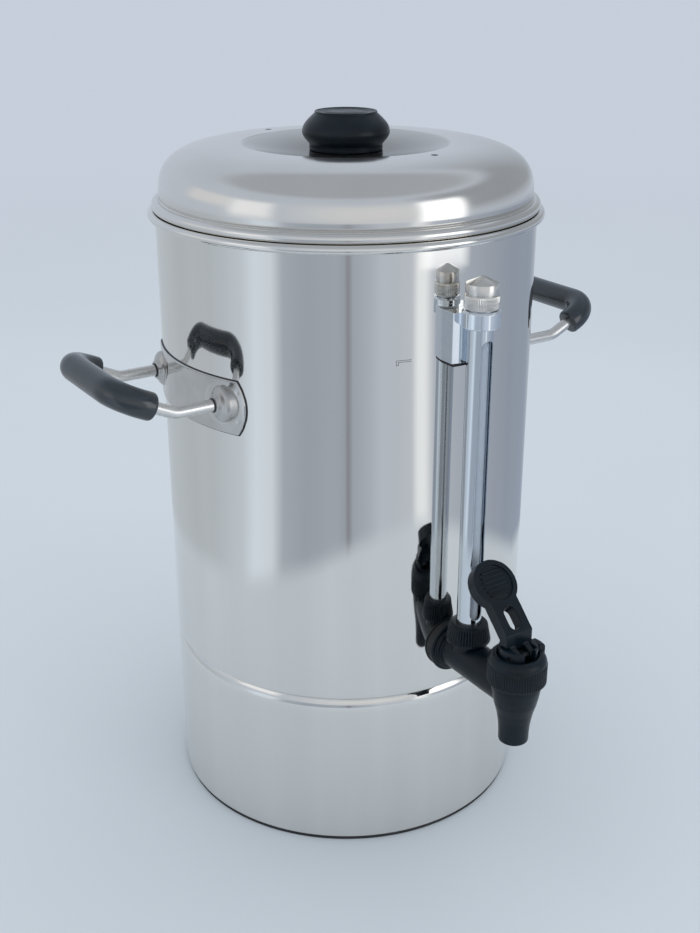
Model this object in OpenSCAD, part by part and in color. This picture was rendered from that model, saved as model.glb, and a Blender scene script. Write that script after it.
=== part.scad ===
// Hot water urn: a steel tank on a heater base, with a lift-off lid, two side
// handles, a lever tap and a level gauge that stands on the tap.
// Millimetres. The tap faces -Y, the handles lie on +X and -X, Z is up and
// the origin is on the tank's axis, at the plane that the urn stands on.

/* [Tank] */
// Outside diameter of the tank and of the base ring
body_d = 226; // [200:1:260]
// Thickness of the sheet steel
sheet = 0.8; // [0.6:0.1:1.2]
// Height of the tank from the seam to the middle of the rim
tank_h = 271; // [230:0.5:320]
// Diameter of the rolled rim
rim_bead_d = 5; // [4:0.1:7]
// How far the rolled rim stands out of the inside of the wall
rim_set = 0.25; // [0.1:0.05:0.5]
// How far the tank steps in at the seam
seam_step = 4.2; // [3:0.1:6]
// Rounding of the tank's lower edge
seam_round = 1.2; // [0.9:0.1:2]
// Depth of the tank's neck below the seam
neck_depth = 13.2; // [11:0.2:30]
// Thickness of the tank floor
floor_t = 1; // [0.8:0.1:2]

/* [Base] */
// Height of the rubber foot ring
foot_h = 2; // [1.5:0.1:4]
// Width of the rubber foot ring
foot_w = 8; // [5:0.5:12]
// How far the foot ring sits in from the base's edge
foot_inset = 1; // [0.5:0.1:3]
// Height of the base ring, its shoulder included
base_h = 101.2; // [90:0.2:130]
// Height of the rounded shoulder
shoulder_h = 9.6; // [6:0.2:14]
// Width of the flange turned in at the foot
flange_w = 17; // [15:0.5:24]
// Gap between the shoulder's edge and the tank's neck
neck_gap = 0.3; // [0.2:0.05:0.6]
// Thickness of the base plate
plate_t = 1; // [0.8:0.1:2]
// Number of base screws
base_screw_n = 3; // [3:1:6]
// Radius of the base screws' shanks
base_screw_r = 1.9; // [1.5:0.1:2.4]
// Height of the base screws' heads
base_screw_head_h = 1.4; // [0.8:0.1:1.5]
// Radius of the base screws' heads
base_screw_head_r = 3.2; // [2.8:0.1:3.6]
// Length of the base screws under the head
base_screw_l = 7; // [5:0.5:12]
// Hole in the base plate under the reset button
reset_hole_r = 5; // [4:0.5:8]

/* [Lid] */
// How far the lid's skirt sits in from the tank's outside
lid_fit = 2.6; // [2.2:0.1:3]
// Radius of the lid's rolled bead
lid_bead_r = 3.2; // [2.4:0.1:3.6]
// How far the bead stands out of the skirt
lid_bead_out = 4.4; // [3.4:0.1:5]
// Length of the skirt below the bead
lid_skirt = 8; // [5:0.5:14]
// Height of the lid's top ring over its bead's underside
lid_h = 36.8; // [28:0.1:45]
// Radius of the top ring's crest
lid_ring_r = 71.5; // [62:0.5:80]
// Radius of the dished middle
lid_dish_r = 61; // [50:0.5:66]
// Depth of the dished middle
lid_dish = 4.4; // [3:0.1:6]
// Radius of the vent holes
lid_vent_r = 2; // [1.5:0.1:3]
// Turn of the two vent holes about the lid's axis, in degrees
vent_turn = 9.5; // [0:0.5:20]
// Play between the lid and the rim
lid_play = 0.3; // [0.2:0.05:0.5]

/* [Knob] */
// Radius of the knob at its widest
knob_r = 25.6; // [20:0.1:32]
// Radius of the knob's foot
knob_foot_r = 21.5; // [16:0.1:26]
// Radius of the knob's flat top
knob_top_r = 18.2; // [12:0.1:24]
// Height of the knob
knob_h = 21.8; // [16:0.1:30]
// Height of the knob's widest line over its foot
knob_wide_z = 11.3; // [8:0.1:14]
// Height of the ring at the knob's foot
knob_ring_h = 3.6; // [2:0.1:5]
// Height of the lip round the knob's top
knob_lip = 1; // [0.6:0.1:2]
// Depth of the dish in the knob's top
knob_dish = 0.6; // [0.2:0.1:1]
// Radius of the knob screw's shank
knob_screw_r = 2.4; // [2:0.1:3]
// Length of the knob screw's shank inside the knob
knob_screw_l = 12; // [8:0.5:14]
// Radius of the knob screw's head
knob_screw_head_r = 4.6; // [4:0.1:6]
// Height of the knob screw's head
knob_screw_head_h = 3; // [2:0.1:4]
// Radius of the washer under the lid
knob_washer_r = 9; // [7:0.5:14]
// Thickness of the washer under the lid
knob_washer_t = 1.2; // [0.8:0.1:2]

/* [Handles] */
// Height of the handle plates' middle over the seam
handle_up = 179.3; // [120:0.5:215]
// Height of a handle plate
handle_plate_h = 31.5; // [28:0.5:44]
// How far a handle plate's middle lies below its rods
plate_drop = 1; // [0:0.1:2]
// Half length of a handle plate at its corners
handle_plate_half = 48; // [47:0.5:60]
// How far a plate's ends bulge past its corners
handle_plate_bulge = 5; // [3:0.5:8]
// Thickness of a handle plate
handle_plate_t = 1.2; // [0.8:0.1:2]
// Half the distance between a handle's rods
handle_half = 37.5; // [30:0.5:37.5]
// Radius of a boss at its foot
boss_r = 11.5; // [9:0.5:13]
// Radius of a boss at its nose
boss_nose_r = 5.2; // [4.8:0.1:6]
// Height of a boss over the wall
boss_h = 6.2; // [5.2:0.1:9]
// Radius of the handle rod
rod_r = 3.5; // [2.5:0.1:4]
// Distance from the tank's axis at which the rod bends up
rod_knee = 133; // [131:0.5:150]
// Slope of the handle, in degrees
handle_slope = 25; // [10:1:45]
// Radius of the rod's bend at the knee
knee_bend = 14; // [10:0.5:20]
// Radius of the rod's bend at the grip's corners
corner_bend = 16; // [13:0.5:17]
// Reach of the handle along its slope, from the knee to the cross bar
handle_reach = 32; // [29:0.5:70]
// Radius of the grip
grip_r = 8; // [6:0.1:10]
// Length of the bare rod along the slope, before the grip
grip_start = 11.5; // [6:0.5:16]
// Play between the grip and its rod
grip_play = 0.05; // [0.02:0.01:0.1]

/* [Gauge] */
// Distance of the gauge's axis from the wall
gauge_off = 17.5; // [17.5:0.1:24]
// Outside radius of the gauge's shield
shield_r = 7.2; // [6.8:0.1:8.2]
// Wall of the shield
shield_t = 0.8; // [0.5:0.1:1]
// How far the shield ends below the middle of the tank's rim
shield_drop = 26.7; // [22:0.1:60]
// Width of the slot in the shield
slot_w = 8.4; // [5:0.1:10]
// How far the slot ends below the top of the shield
slot_end = 21.5; // [20:0.5:60]
// Height of the slot's foot over the shield's foot
slot_up = 7; // [5:0.5:12]
// Outside radius of the glass
glass_r = 5; // [4:0.1:5.4]
// Wall of the glass
glass_t = 1.3; // [1:0.1:2]
// How far the glass stands out of the shield's top
glass_over = 3; // [1:0.5:5]
// Depth of the glass in its socket
glass_socket = 8; // [4:0.5:9]
// Height of the ring seal round the glass
seal_h = 2.6; // [1.5:0.1:4]
// Radius of the gauge nut at its foot
nut_r = 13.1; // [12:0.1:14]
// Radius of the gauge nut at its top
nut_top_r = 10.4; // [9.6:0.1:12]
// Height of the gauge nut
nut_h = 11.8; // [11.4:0.1:16]
// Number of ribs on the gauge nut
nut_rib_n = 44; // [24:1:60]
// Depth of the grooves between the gauge nut's ribs
nut_groove = 0.35; // [0.2:0.05:0.6]
// Radius of the cap's plain band
cap_r = 8.9; // [8.6:0.1:9.6]
// Radius of the cap's knurled band
cap_knurl_r = 9.6; // [9.3:0.1:10.4]
// Height of the knurled band
cap_knurl_h = 7.4; // [5:0.1:10]
// Height of the plain band
cap_plain_h = 6.2; // [4:0.1:9]
// Height of the cap's conical top
cap_cone_h = 3.4; // [2:0.1:6]
// Number of teeth on the knurl
cap_knurl_n = 48; // [30:1:64]
// Wall of the cap's roof
cap_roof = 3; // [2:0.1:5]

/* [Gauge bracket] */
// Outside radius of the bracket's collar
collar_r = 10.4; // [9.6:0.1:12]
// Height of the bracket's collar
collar_h = 9.4; // [6:0.1:12]
// Height of the bracket's foot
bracket_h = 28; // [20:0.5:40]
// How far the collar stands up past the foot
collar_up = 2.6; // [1:0.1:5]
// Width of the bracket at the wall
bracket_w = 24; // [18:0.5:30]
// Depth of the bracket's straight sides, from the wall
bracket_side = 9; // [6:0.5:10]
// Width of the bracket's front
bracket_waist = 14.6; // [12:0.2:14.8]
// Distance of the collar's top below the cap
cap_gap = 0.6; // [0.4:0.1:1.5]
// Thickness of the black pad behind the bracket
pad_t = 1.6; // [1:0.1:2.5]
// How far the pad stays inside the bracket's outline
pad_inset = 0.8; // [0.4:0.1:1.5]
// Thickness of the pad's lip under the bracket
pad_drop = 1.8; // [1:0.1:4]
// Radius of the bracket screw's shank
bracket_screw_r = 1.9; // [1.5:0.1:2.2]
// Radius of the bracket screw's head
bracket_head_r = 3.6; // [3:0.1:4.5]
// Height of the bracket screw's head
bracket_head_h = 2.2; // [1.6:0.1:3]
// Reach of the bracket screw from the wall into the foot
bracket_screw_in = 7; // [5:0.5:7.5]
// Thickness of the bracket screw's seal
screw_seal_t = 1; // [0.6:0.1:1.6]

/* [Tap] */
// Height of the tap's barrel over the seam
tap_up = 28; // [26:0.1:45]
// Distance of the valve's axis from the wall
valve_off = 61.5; // [58:0.5:75]
// Radius of the barrel
barrel_r = 11.3; // [9.5:0.1:11.5]
// Radius of the barrel's bore
barrel_bore = 6; // [4:0.1:6.4]
// Radius of the shank through the wall
shank_r = 8.2; // [7.6:0.1:9.5]
// Length of the shank inside the wall
shank_in = 16; // [14:0.5:22]
// Radius of the larger flange
flange_r = 15.6; // [15:0.1:19]
// Radius of the smaller flange
flange_step_r = 13.4; // [12:0.1:15]
// Thickness of each flange
flange_t = 2; // [2:0.1:2.2]
// Thickness of the outer seal at its middle
seal_out_t = 2; // [1.8:0.1:2.2]
// Thickness of the inner seal at its middle
seal_in_t = 2.4; // [2:0.1:3]
// Thickness of the lock nut
lock_nut_t = 7; // [5:0.5:9]
// Width across the flats of the lock nut
lock_nut_af = 26; // [24:0.5:30]
// Radius of the valve body at its top
valve_r = 14; // [13:0.1:15]
// Height of the valve body's top over the barrel's axis
valve_top = 15.4; // [14:0.1:18]
// Drop of the spout's end below the barrel's axis
spout_drop = 32; // [28:0.5:50]
// Outside radius of the spout's end
spout_r = 8.6; // [7.6:0.1:10]
// How far the spout's upper end lies under the barrel
spout_under = 1.2; // [0.6:0.1:2]
// Radius of the spout's bore
spout_bore = 6; // [4:0.1:6.6]
// Radius of the valve chamber
chamber_r = 9.4; // [8.8:0.1:10.4]
// Depth of the valve seat below the barrel's axis
seat_drop = 9.5; // [8:0.1:11]
// Radius of the gauge's riser on the barrel
riser_r = 9.6; // [9.2:0.1:10]
// Radius of the threaded spigot under the gauge nut
spigot_r = 8.5; // [7.8:0.1:8.8]
// Height of the spigot over the riser
spigot_h = 6; // [4:0.1:7]
// Radius of the water way up to the glass
riser_bore = 3; // [2:0.1:3.6]

/* [Tap top] */
// Radius of the bonnet nut
bonnet_r = 16.8; // [16:0.1:19]
// Height of the bonnet nut
bonnet_h = 17.7; // [16:0.1:22]
// Radius of the opening in the bonnet nut
bonnet_hole = 11.7; // [11.4:0.1:12.6]
// Height of the bonnet nut's rounded shoulder
bonnet_round = 5; // [3:0.1:6]
// Number of ribs on the bonnet nut
bonnet_rib_n = 72; // [40:1:84]
// Depth of the bonnet nut's ribs
bonnet_rib = 0.35; // [0.2:0.05:0.6]
// Height of the tab on the bonnet nut over its top
tab_up = 2.6; // [1:0.1:5]
// Width of the tab on the bonnet nut
tab_w = 9; // [5:0.5:14]
// Radius of the guide's crown
crown_r = 11; // [10.6:0.1:11.2]
// Height of the crown over its flange
crown_h = 11.4; // [10:0.1:14]
// Radius of the guide's flange
guide_flange_r = 13.4; // [12.6:0.1:13.6]
// Thickness of the guide's flange
guide_flange_t = 2.5; // [2:0.1:3]
// Width of the notch in the crown
notch_w = 7.4; // [5:0.1:8]

/* [Lever] */
// Distance of the pivot pin in front of the valve's axis
pin_fwd = 4.4; // [4.2:0.05:4.6]
// Height of the pivot pin over the guide's flange
pin_up = 7; // [6.8:0.1:8]
// Radius of the pivot pin
pin_r = 1.4; // [1:0.05:1.5]
// Radius of the lever's cross bar through the stem
nose_r = 1.1; // [0.8:0.05:1.2]
// Half of the lever's swing, in degrees
swing_half = 25; // [15:1:25]
// Width of the lever's arm
arm_w = 18; // [15:0.5:22]
// Thickness of the lever's arm
arm_t = 8; // [6:0.1:9]
// Lean of the arm towards the tank, in degrees
arm_lean = 46; // [30:1:50]
// Length of the arm, from its elbow to the pad's middle
arm_l = 31; // [29:0.5:45]
// Height of the elbow over the crown's top
elbow_up = 8; // [6:0.1:12]
// Radius of the pad
pad_r = 13.8; // [11.5:0.1:16]
// Radius of the dish in the pad
pad_dish_r = 10.8; // [8:0.1:11]
// Depth of the dish in the pad
pad_dish = 1.5; // [0.8:0.1:2.5]
// Number of ridges on the pad
ridge_n = 6; // [4:1:10]
// Length of a ridge as a share of the dish's width there
ridge_share = 0.74; // [0.5:0.02:0.86]
// Width of the slot in the arm
arm_slot_w = 8; // [5:0.1:10]
// Length of the slot in the arm
arm_slot_l = 14; // [10:0.1:15]
// Distance of the arm slot's middle from the elbow
arm_slot_at = 9.2; // [8.6:0.1:12]
// Thickness of the lever's neck
neck_t = 6.4; // [5.5:0.1:7]

/* [Stem and spring] */
// Radius of the stem
stem_r = 2.9; // [2.5:0.1:3.2]
// Radius of the seat cup
cup_r = 8; // [7.2:0.1:8.4]
// Height of the seat cup
cup_h = 8; // [6:0.1:10]
// Radius of the spring's coils
spring_r = 5.6; // [4.6:0.1:6.6]
// Radius of the spring's wire
spring_wire = 0.45; // [0.3:0.05:0.6]
// Turns of the spring
spring_turns = 5; // [3:1:7]

/* [Heater] */
// Radius of the heating element's ring
element_r = 66; // [50:1:80]
// Radius of the heating element's tube
element_tube = 4.2; // [3:0.1:5]
// Height of the element's ring over the floor
element_up = 13; // [12:0.5:16]
// Bend radius of the element's legs
element_bend = 10; // [8:0.5:11]
// Half angle between the element's legs
element_half = 22; // [21:0.5:30]
// Length of the legs below the floor
element_leg = 16; // [13:0.5:24]
// Thickness of the element's seals
element_seal_t = 2; // [1:0.1:2.5]
// Width across the flats of the element's nuts
element_nut_af = 16; // [13:0.5:18]
// Thickness of the element's nuts
element_nut_t = 5; // [4:0.1:7]
// Radius of the thermostat
stat_r = 8; // [6:0.1:10]
// Height of the thermostat and the cut-out
stat_h = 11; // [8:0.1:14]
// Distance of the thermostat and the cut-out from the axis
stat_at = 30; // [22:0.5:40]
// Radius of the reset button
reset_r = 2; // [1.5:0.1:3]
// Length of the reset button out of the cut-out
reset_l = 4; // [3:0.1:8]
// Travel of the reset button
reset_travel = 1; // [0.6:0.1:1.5]

/* [Mains] */
// Height of the inlet, switch and lamp over the base plate
mains_up = 38; // [30:0.5:60]
// Angle between the inlet and its neighbours
mains_step = 24; // [20:1:40]
// Width of the inlet's socket
inlet_w = 24.5; // [24:0.1:27]
// Height of the inlet's socket
inlet_h = 17; // [16.4:0.1:19]
// Depth of the inlet's socket
inlet_depth = 17; // [15:0.5:20]
// Wall of the inlet
inlet_wall = 2; // [1.5:0.1:3]
// How far the inlet's flange stands past its body
inlet_flange = 3.5; // [2.5:0.1:5]
// Thickness of the flanges on the base's wall
bezel_t = 2.4; // [2:0.1:4]
// Distance between the inlet's pins
inlet_pitch = 7; // [6.6:0.1:7.4]
// Width of the switch's opening
rocker_w = 18; // [14:0.5:22]
// Height of the switch's opening
rocker_h = 12; // [9:0.5:16]
// Wall of the switch's frame
rocker_wall = 1.5; // [1:0.1:2]
// Depth of the switch's body
rocker_depth = 16; // [13:0.5:22]
// Play round the rocker
rocker_play = 0.3; // [0.2:0.05:0.5]
// Half of the rocker's swing, in degrees
rocker_tilt = 9; // [5:0.5:10]
// Radius of the indicator lamp's lens
lamp_r = 5; // [4:0.1:7]
// Radius of the earth stud
earth_r = 2; // [1.5:0.1:3]
// Length of the earth stud
earth_l = 12; // [9:0.5:16]
// Radius of the wires
wire_r = 1.2; // [0.8:0.1:1.5]

/* [Fits] */
// Gap between pieces that are welded or pressed together
seat_gap = 0.05; // [0.02:0.01:0.1]
// Running clearance of pins and shafts
run_gap = 0.06; // [0.02:0.01:0.1]
// Clearance of a screw's shank in its hole
screw_gap = 0.15; // [0.05:0.05:0.3]
// Clearance between moving faces
move_gap = 0.3; // [0.2:0.05:0.4]

/* [Node] */
// Which piece to draw

/* [Hidden] */
$fn = 64;

// Tank and base
R = body_d / 2;
R_in = R - sheet;
seam_z = foot_h + base_h;
rim_z = seam_z + tank_h;
rim_r = rim_bead_d / 2;
rim_at = R_in + rim_set + rim_r;
rim_top = rim_z + rim_r;
neck_r = R - seam_step;
floor_z = seam_z - neck_depth;
floor_top = floor_z + floor_t;
plate_z = foot_h + sheet;
plate_top = plate_z + plate_t;
plate_r = R_in - seat_gap;
foot_out = R - foot_inset;
foot_in = foot_out - foot_w;
flange_in = R - flange_w;
screw_circle = (flange_in + foot_in) / 2;
cut = 0.5;
far = 40;
// Bent tubes lap by this angle, and faces on the wall are cut this finely
lap = 0.2;
fine = 240;
// A bend is this much thicker than the straight rod it laps
bend_step = 0.03;

// Lid
lid_r = R - lid_fit;
bead_at = lid_r + lid_bead_out - lid_bead_r;
bead_reach = lid_bead_r + rim_r + lid_play;
bead_mid = rim_z + sqrt(bead_reach * bead_reach - (rim_at - bead_at) * (rim_at - bead_at));
bead_z = bead_mid - lid_bead_r;
skirt_z = bead_z - lid_skirt;
lid_top = bead_z + lid_h;
dish_z = lid_top - lid_dish;
bead_steps = 10;
bead_a0 = acos((lid_bead_r - lid_bead_out) / lid_bead_r);
dome_r = lid_ring_r + 4;
dome_z0 = bead_mid + lid_bead_r * sin(bead_a0) + 1.4;
dome_rise = lid_top - dome_z0;
dome_steps = 12;
dome_pow = 2.6;

// Gauge and tap, by height
tap_z = seam_z + tap_up;
gauge_y = R + gauge_off;
valve_y = R + valve_off;
riser_z = tap_z + barrel_r + 0.4;
spigot_z = riser_z + spigot_h;
seal_z = spigot_z;
shield_z = seal_z + seal_h;
shield_top = rim_z - shield_drop;
shield_l = shield_top - shield_z;
glass_z = spigot_z - glass_socket;
glass_top = shield_top + glass_over;
glass_l = glass_top - glass_z;
nut_z = riser_z;
nut_top = nut_z + nut_h;
cap_skirt = 5;
cap_z = shield_top - cap_skirt;
cap_h = cap_knurl_h + cap_plain_h + cap_cone_h;
collar_top = cap_z - cap_gap;
collar_z = collar_top - collar_h;
bracket_top = collar_top - collar_up;
bracket_z = bracket_top - bracket_h;
bracket_screw_z = bracket_z + bracket_h / 2;
slot_z = shield_z + slot_up;
slot_l = shield_top - slot_end - slot_z;

// Tap by distance from the axis
seal_face = R + seal_out_t;
seal_in_face = R_in - seal_in_t;
lock_nut_y = seal_in_face - lock_nut_t;
shank_y = R_in - shank_in;
step_face = seal_face + flange_t;
barrel_face = step_face + flange_t;
valve_z = tap_z + valve_top;
seat_z = tap_z - seat_drop;
spout_z = tap_z - spout_drop;
spout_top = tap_z - barrel_r - spout_under;
bonnet_z = valve_z - 8.6;
bonnet_top = bonnet_z + bonnet_h;
guide_z = valve_z + seat_gap;
guide_top = guide_z + guide_flange_t;
crown_top = guide_top + crown_h;

// Lever: y is the distance from the tank's axis, z is the height
pin_y = valve_y + pin_fwd;
pin_z = guide_top + pin_up;
nose_l = pin_fwd / ((1 + cos(swing_half)) / 2);
nose_y = pin_y - nose_l * cos(swing_half);
nose_z = pin_z - nose_l * sin(swing_half);
stem_lift = 2 * nose_l * sin(swing_half);
pin_boss = pin_r + 1.6;
nose_boss = nose_r + 1.3;
pocket_half = 6.9;
cheek_out = pocket_half - move_gap;
tang_half = 2.6;
cheek_in = tang_half + move_gap;
pocket_z = nose_z - nose_boss - 0.5;
pocket_front = pin_y + pin_boss + move_gap;
pocket_back = valve_y - 9;
neck_front = valve_y + 0.7;
neck_back = neck_front - neck_t;
neck_z = crown_top + move_gap + 0.1;
bridge_z = nose_z + stem_lift + 0.8;
elbow_z = crown_top + elbow_up;
arm_dir = [-sin(arm_lean), cos(arm_lean)];
arm_nrm = [cos(arm_lean), sin(arm_lean)];
elbow = [neck_front, elbow_z];
elbow_back_drop = (arm_t - neck_t * cos(arm_lean)) / sin(arm_lean);
window_half = nose_r + 0.25;
tang_front = pin_fwd - pin_r - 0.35;
tang_back = 3.2;
tang_z = pocket_z + move_gap;
tang_top = nose_z + window_half + 1.3;
cup_z = seat_z + seat_gap;
cup_top = cup_z + cup_h;
stem_z = cup_z + 3;
spring_z = cup_top + seat_gap;
spring_top = guide_z - seat_gap;

// Handles
handle_z = seam_z + handle_up;
rod_wall = sqrt(R * R - handle_half * handle_half);
plate_in = R + seat_gap;
plate_out = plate_in + handle_plate_t;
bulge_r = (handle_plate_h * handle_plate_h / 4 + handle_plate_bulge * handle_plate_bulge)
  / (2 * handle_plate_bulge);
bulge_at = handle_plate_half + handle_plate_bulge - bulge_r;
boss_at = rod_wall;
rod_start = rod_wall + 3;
corner_half = handle_half - corner_bend;
leg_end = handle_reach - corner_bend;

// Electrics
mains_z = plate_top + mains_up;
bezel_in = R + seat_gap;
bezel_out = R + bezel_t;
inlet_back = bezel_out - inlet_depth - inlet_wall;
leg_z = floor_z - element_leg;
leg_x = element_r * sin(element_half);
ring_z = floor_top + element_up;
leg_at = element_r * cos(element_half) + element_bend * sin(element_half);
leg_half = leg_x - element_bend * cos(element_half);
stat_z = floor_z - stat_h;
rocker_axis_y = bezel_out - 3;
tab_h = 6;
tab_t = 0.8;
tab_wide = 6.3;

// Unit vector and corner normals of an open line of points
function unit(v) = v / norm(v);
function left_of(v) = [-v[1], v[0]];
function edge_n(p, i) = left_of(unit(p[i + 1] - p[i]));
function corner_n(p, i) =
  i == 0 ? edge_n(p, 0) :
  i == len(p) - 1 ? edge_n(p, i - 1) :
  let (a = edge_n(p, i - 1), b = edge_n(p, i)) (a + b) / (1 + a * b);
// A sheet of thickness t on the left of an open line
function sheet_of(p, t) = concat(p, [for (i = [len(p) - 1:-1:0]) p[i] + t * corner_n(p, i)]);

// A ring of triangles swept along points with a round section
function path_dir(p, i) =
  i == 0 ? p[1] - p[0] :
  i == len(p) - 1 ? p[i] - p[i - 1] : unit(p[i + 1] - p[i]) + unit(p[i] - p[i - 1]);
function ring_at(c, d, ref, r, n) =
  let (u = unit(cross(d, ref)), v = unit(cross(u, d)))
  [for (k = [0:n - 1]) c + r * (cos(360 * k / n) * u + sin(360 * k / n) * v)];
module tube(p, r, n, ref) {
  m = len(p);
  rings = [for (i = [0:m - 1]) ring_at(p[i], path_dir(p, i), is_list(ref[0]) ? ref[i] : ref, r, n)];
  points = concat([for (g = rings) each g], [p[0], p[m - 1]]);
  walls = [for (i = [0:m - 2], k = [0:n - 1]) let (a = i * n + k, b = i * n + (k + 1) % n)
    each [[a, b, b + n], [a, b + n, a + n]]];
  ends = [for (k = [0:n - 1]) let (e = (m - 1) * n)
    each [[(k + 1) % n, k, m * n], [e + k, e + (k + 1) % n, m * n + 1]]];
  polyhedron(points, concat(walls, ends));
}

// Places: a lathe's own plane, the tap's side view and the base's wall
module side_view(w) {
  rotate([90, 0, -90]) linear_extrude(w, center = true) children();
}
module at_valve() {
  translate([0, -valve_y, 0]) children();
}
module at_gauge() {
  translate([0, -gauge_y, 0]) children();
}
module along_y(y) {
  translate([0, -y, tap_z]) rotate([90, 0, 0]) children();
}
module at_wall(a) {
  rotate([0, 0, a]) translate([0, 0, mains_z]) children();
}
module hexagon(af) {
  circle(r = af / 2 / cos(30), $fn = 6);
}
// An outline with n rounded-off teeth of a given depth
module ribbed(r, depth, n) {
  polygon([for (i = [0:n - 1], k = [0:3])
    let (a = 360 * (i + [0, 0.3, 0.5, 0.8][k]) / n, q = k < 2 ? r : r - depth)
    [q * cos(a), q * sin(a)]]);
}

module tank_shell() {
  color("silver") difference() {
    union() {
      rotate_extrude() polygon(sheet_of([
        [neck_r, floor_z],
        [neck_r, seam_z],
        [R - seam_round, seam_z],
        [R - seam_round * 0.3, seam_z + seam_round * 0.3],
        [R, seam_z + seam_round],
        [R, rim_z]], sheet));
      translate([0, 0, rim_z]) rotate_extrude() translate([rim_at, 0]) circle(rim_r);
    }
    along_y(R_in - cut * 4) cylinder(r = shank_r + screw_gap, h = sheet + 8 * cut);
    translate([0, -R + far / 4, bracket_screw_z]) rotate([90, 0, 0])
      cylinder(r = bracket_screw_r + screw_gap, h = far / 2);
  }
}

module tank_floor() {
  color("silver") difference() {
    translate([0, 0, floor_z]) cylinder(r = neck_r - sheet - seat_gap, h = floor_t);
    for (s = [-1, 1]) translate([s * leg_half, leg_at, floor_z - cut])
      cylinder(r = element_tube + screw_gap, h = floor_t + 2 * cut);
  }
}

module base_ring() {
  color("silver") difference() {
    rotate_extrude() polygon(sheet_of(concat(
      [[flange_in, foot_h], [R, foot_h]],
      [for (k = [0:8]) let (a = 90 * k / 8)
        [neck_r + neck_gap + (seam_step - neck_gap) * cos(a),
        seam_z - seat_gap - shoulder_h + shoulder_h * sin(a)]]), sheet));
    for (k = [0:base_screw_n - 1]) rotate([0, 0, 360 * k / base_screw_n])
      translate([screw_circle, 0, foot_h - cut])
        cylinder(r = base_screw_r + screw_gap, h = sheet + 2 * cut);
    at_wall(0) translate([0, R, 0])
      cube([inlet_w + 2 * inlet_wall + 2 * seat_gap, far / 2, inlet_h + 2 * inlet_wall + 2 * seat_gap],
        center = true);
    at_wall(mains_step) translate([0, R, 0])
      cube([rocker_w + 2 * rocker_wall + 2 * seat_gap, far / 2, rocker_h + 2 * rocker_wall + 2 * seat_gap],
        center = true);
    at_wall(-mains_step) translate([0, R - far / 4, 0]) rotate([-90, 0, 0])
      cylinder(r = lamp_r + seat_gap, h = far / 2);
  }
}

module base_plate() {
  color("gray") difference() {
    translate([0, 0, plate_z]) cylinder(r = plate_r, h = plate_t);
    for (k = [0:base_screw_n - 1]) rotate([0, 0, 360 * k / base_screw_n])
      translate([screw_circle, 0, plate_z - cut])
        cylinder(r = base_screw_r + seat_gap, h = plate_t + 2 * cut);
    translate([-stat_at, 0, plate_z - cut]) cylinder(r = reset_hole_r, h = plate_t + 2 * cut);
    translate([0, earth_y, plate_z - cut]) cylinder(r = earth_r + seat_gap, h = plate_t + 2 * cut);
  }
}

module foot_ring() {
  color("dimgray") difference() {
    cylinder(r = foot_out, h = foot_h);
    translate([0, 0, -cut]) cylinder(r = foot_in, h = foot_h + 2 * cut);
  }
}

module base_screws() {
  color("lightgray") for (k = [0:base_screw_n - 1]) rotate([0, 0, 360 * k / base_screw_n])
    translate([screw_circle, 0, foot_h]) {
      cylinder(r = base_screw_r, h = base_screw_l);
      translate([0, 0, -base_screw_head_h]) cylinder(r = base_screw_head_r, h = base_screw_head_h);
    }
}

// The element's line: up one leg, round the ring and down the other leg
element_steps = 36;
bend_steps = 4;
leg_foot = [leg_half, leg_at, leg_z];
bend_mid = [leg_x, element_r * cos(element_half), ring_z - element_bend];
bend_dir = [-cos(element_half), sin(element_half), 0];
end_out = [sin(element_half), cos(element_half), 0];
element_leg_line = concat([leg_foot], [for (k = [0:bend_steps - 1]) let (a = 90 * k / bend_steps)
  bend_mid + element_bend * (cos(a) * bend_dir + [0, 0, sin(a)])]);
element_ring_a = [for (k = [0:element_steps])
  90 - element_half - (360 - 2 * element_half) * k / element_steps];
function mirror_x(v) = [-v[0], v[1], v[2]];
function flip(p) = [for (i = [len(p) - 1:-1:0]) mirror_x(p[i])];
element_line = concat(element_leg_line,
  [for (a = element_ring_a) [element_r * cos(a), element_r * sin(a), ring_z]],
  flip(element_leg_line));
element_refs = concat([for (p = element_leg_line) end_out], [for (a = element_ring_a) [cos(a), sin(a), 0]],
  [for (p = element_leg_line) mirror_x(end_out)]);
module heating_element() {
  color("slategray") tube(element_line, element_tube, 12, element_refs);
}

module element_seals() {
  color("firebrick") for (s = [-1, 1]) translate([s * leg_half, leg_at, floor_top]) difference() {
    cylinder(r = element_nut_af / 2, h = element_seal_t);
    translate([0, 0, -cut]) cylinder(r = element_tube + seat_gap, h = element_seal_t + 2 * cut);
  }
}

module element_nuts() {
  color("goldenrod") for (s = [-1, 1])
    translate([s * leg_half, leg_at, floor_z - element_nut_t]) difference() {
      linear_extrude(element_nut_t) hexagon(element_nut_af);
      translate([0, 0, -cut]) cylinder(r = element_tube + seat_gap, h = element_nut_t + 2 * cut);
    }
}

// A round bimetal switch against the tank floor, with two tabs at its back
module disc_switch(hole) {
  difference() {
    union() {
      translate([0, 0, stat_z]) cylinder(r = stat_r, h = stat_h);
      translate([0, 0, floor_z - 2]) cylinder(r = stat_r + 3, h = 2);
      for (s = [-1, 1]) translate([s * 5, 0, stat_z - tab_h / 2])
        cube([tab_t, tab_wide, tab_h], center = true);
    }
    translate([0, 0, stat_z - cut]) cylinder(r = hole, h = stat_h / 2 + cut);
  }
}
module thermostat() {
  color("saddlebrown") translate([stat_at, 0, 0]) disc_switch(1.5);
}
module thermal_cutout() {
  color("black") translate([-stat_at, 0, 0]) disc_switch(reset_r + run_gap);
}
module reset_button() {
  color("red") translate([-stat_at, 0, stat_z - reset_l])
    cylinder(r = reset_r, h = reset_l + stat_h / 2 - reset_travel - move_gap);
}

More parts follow.
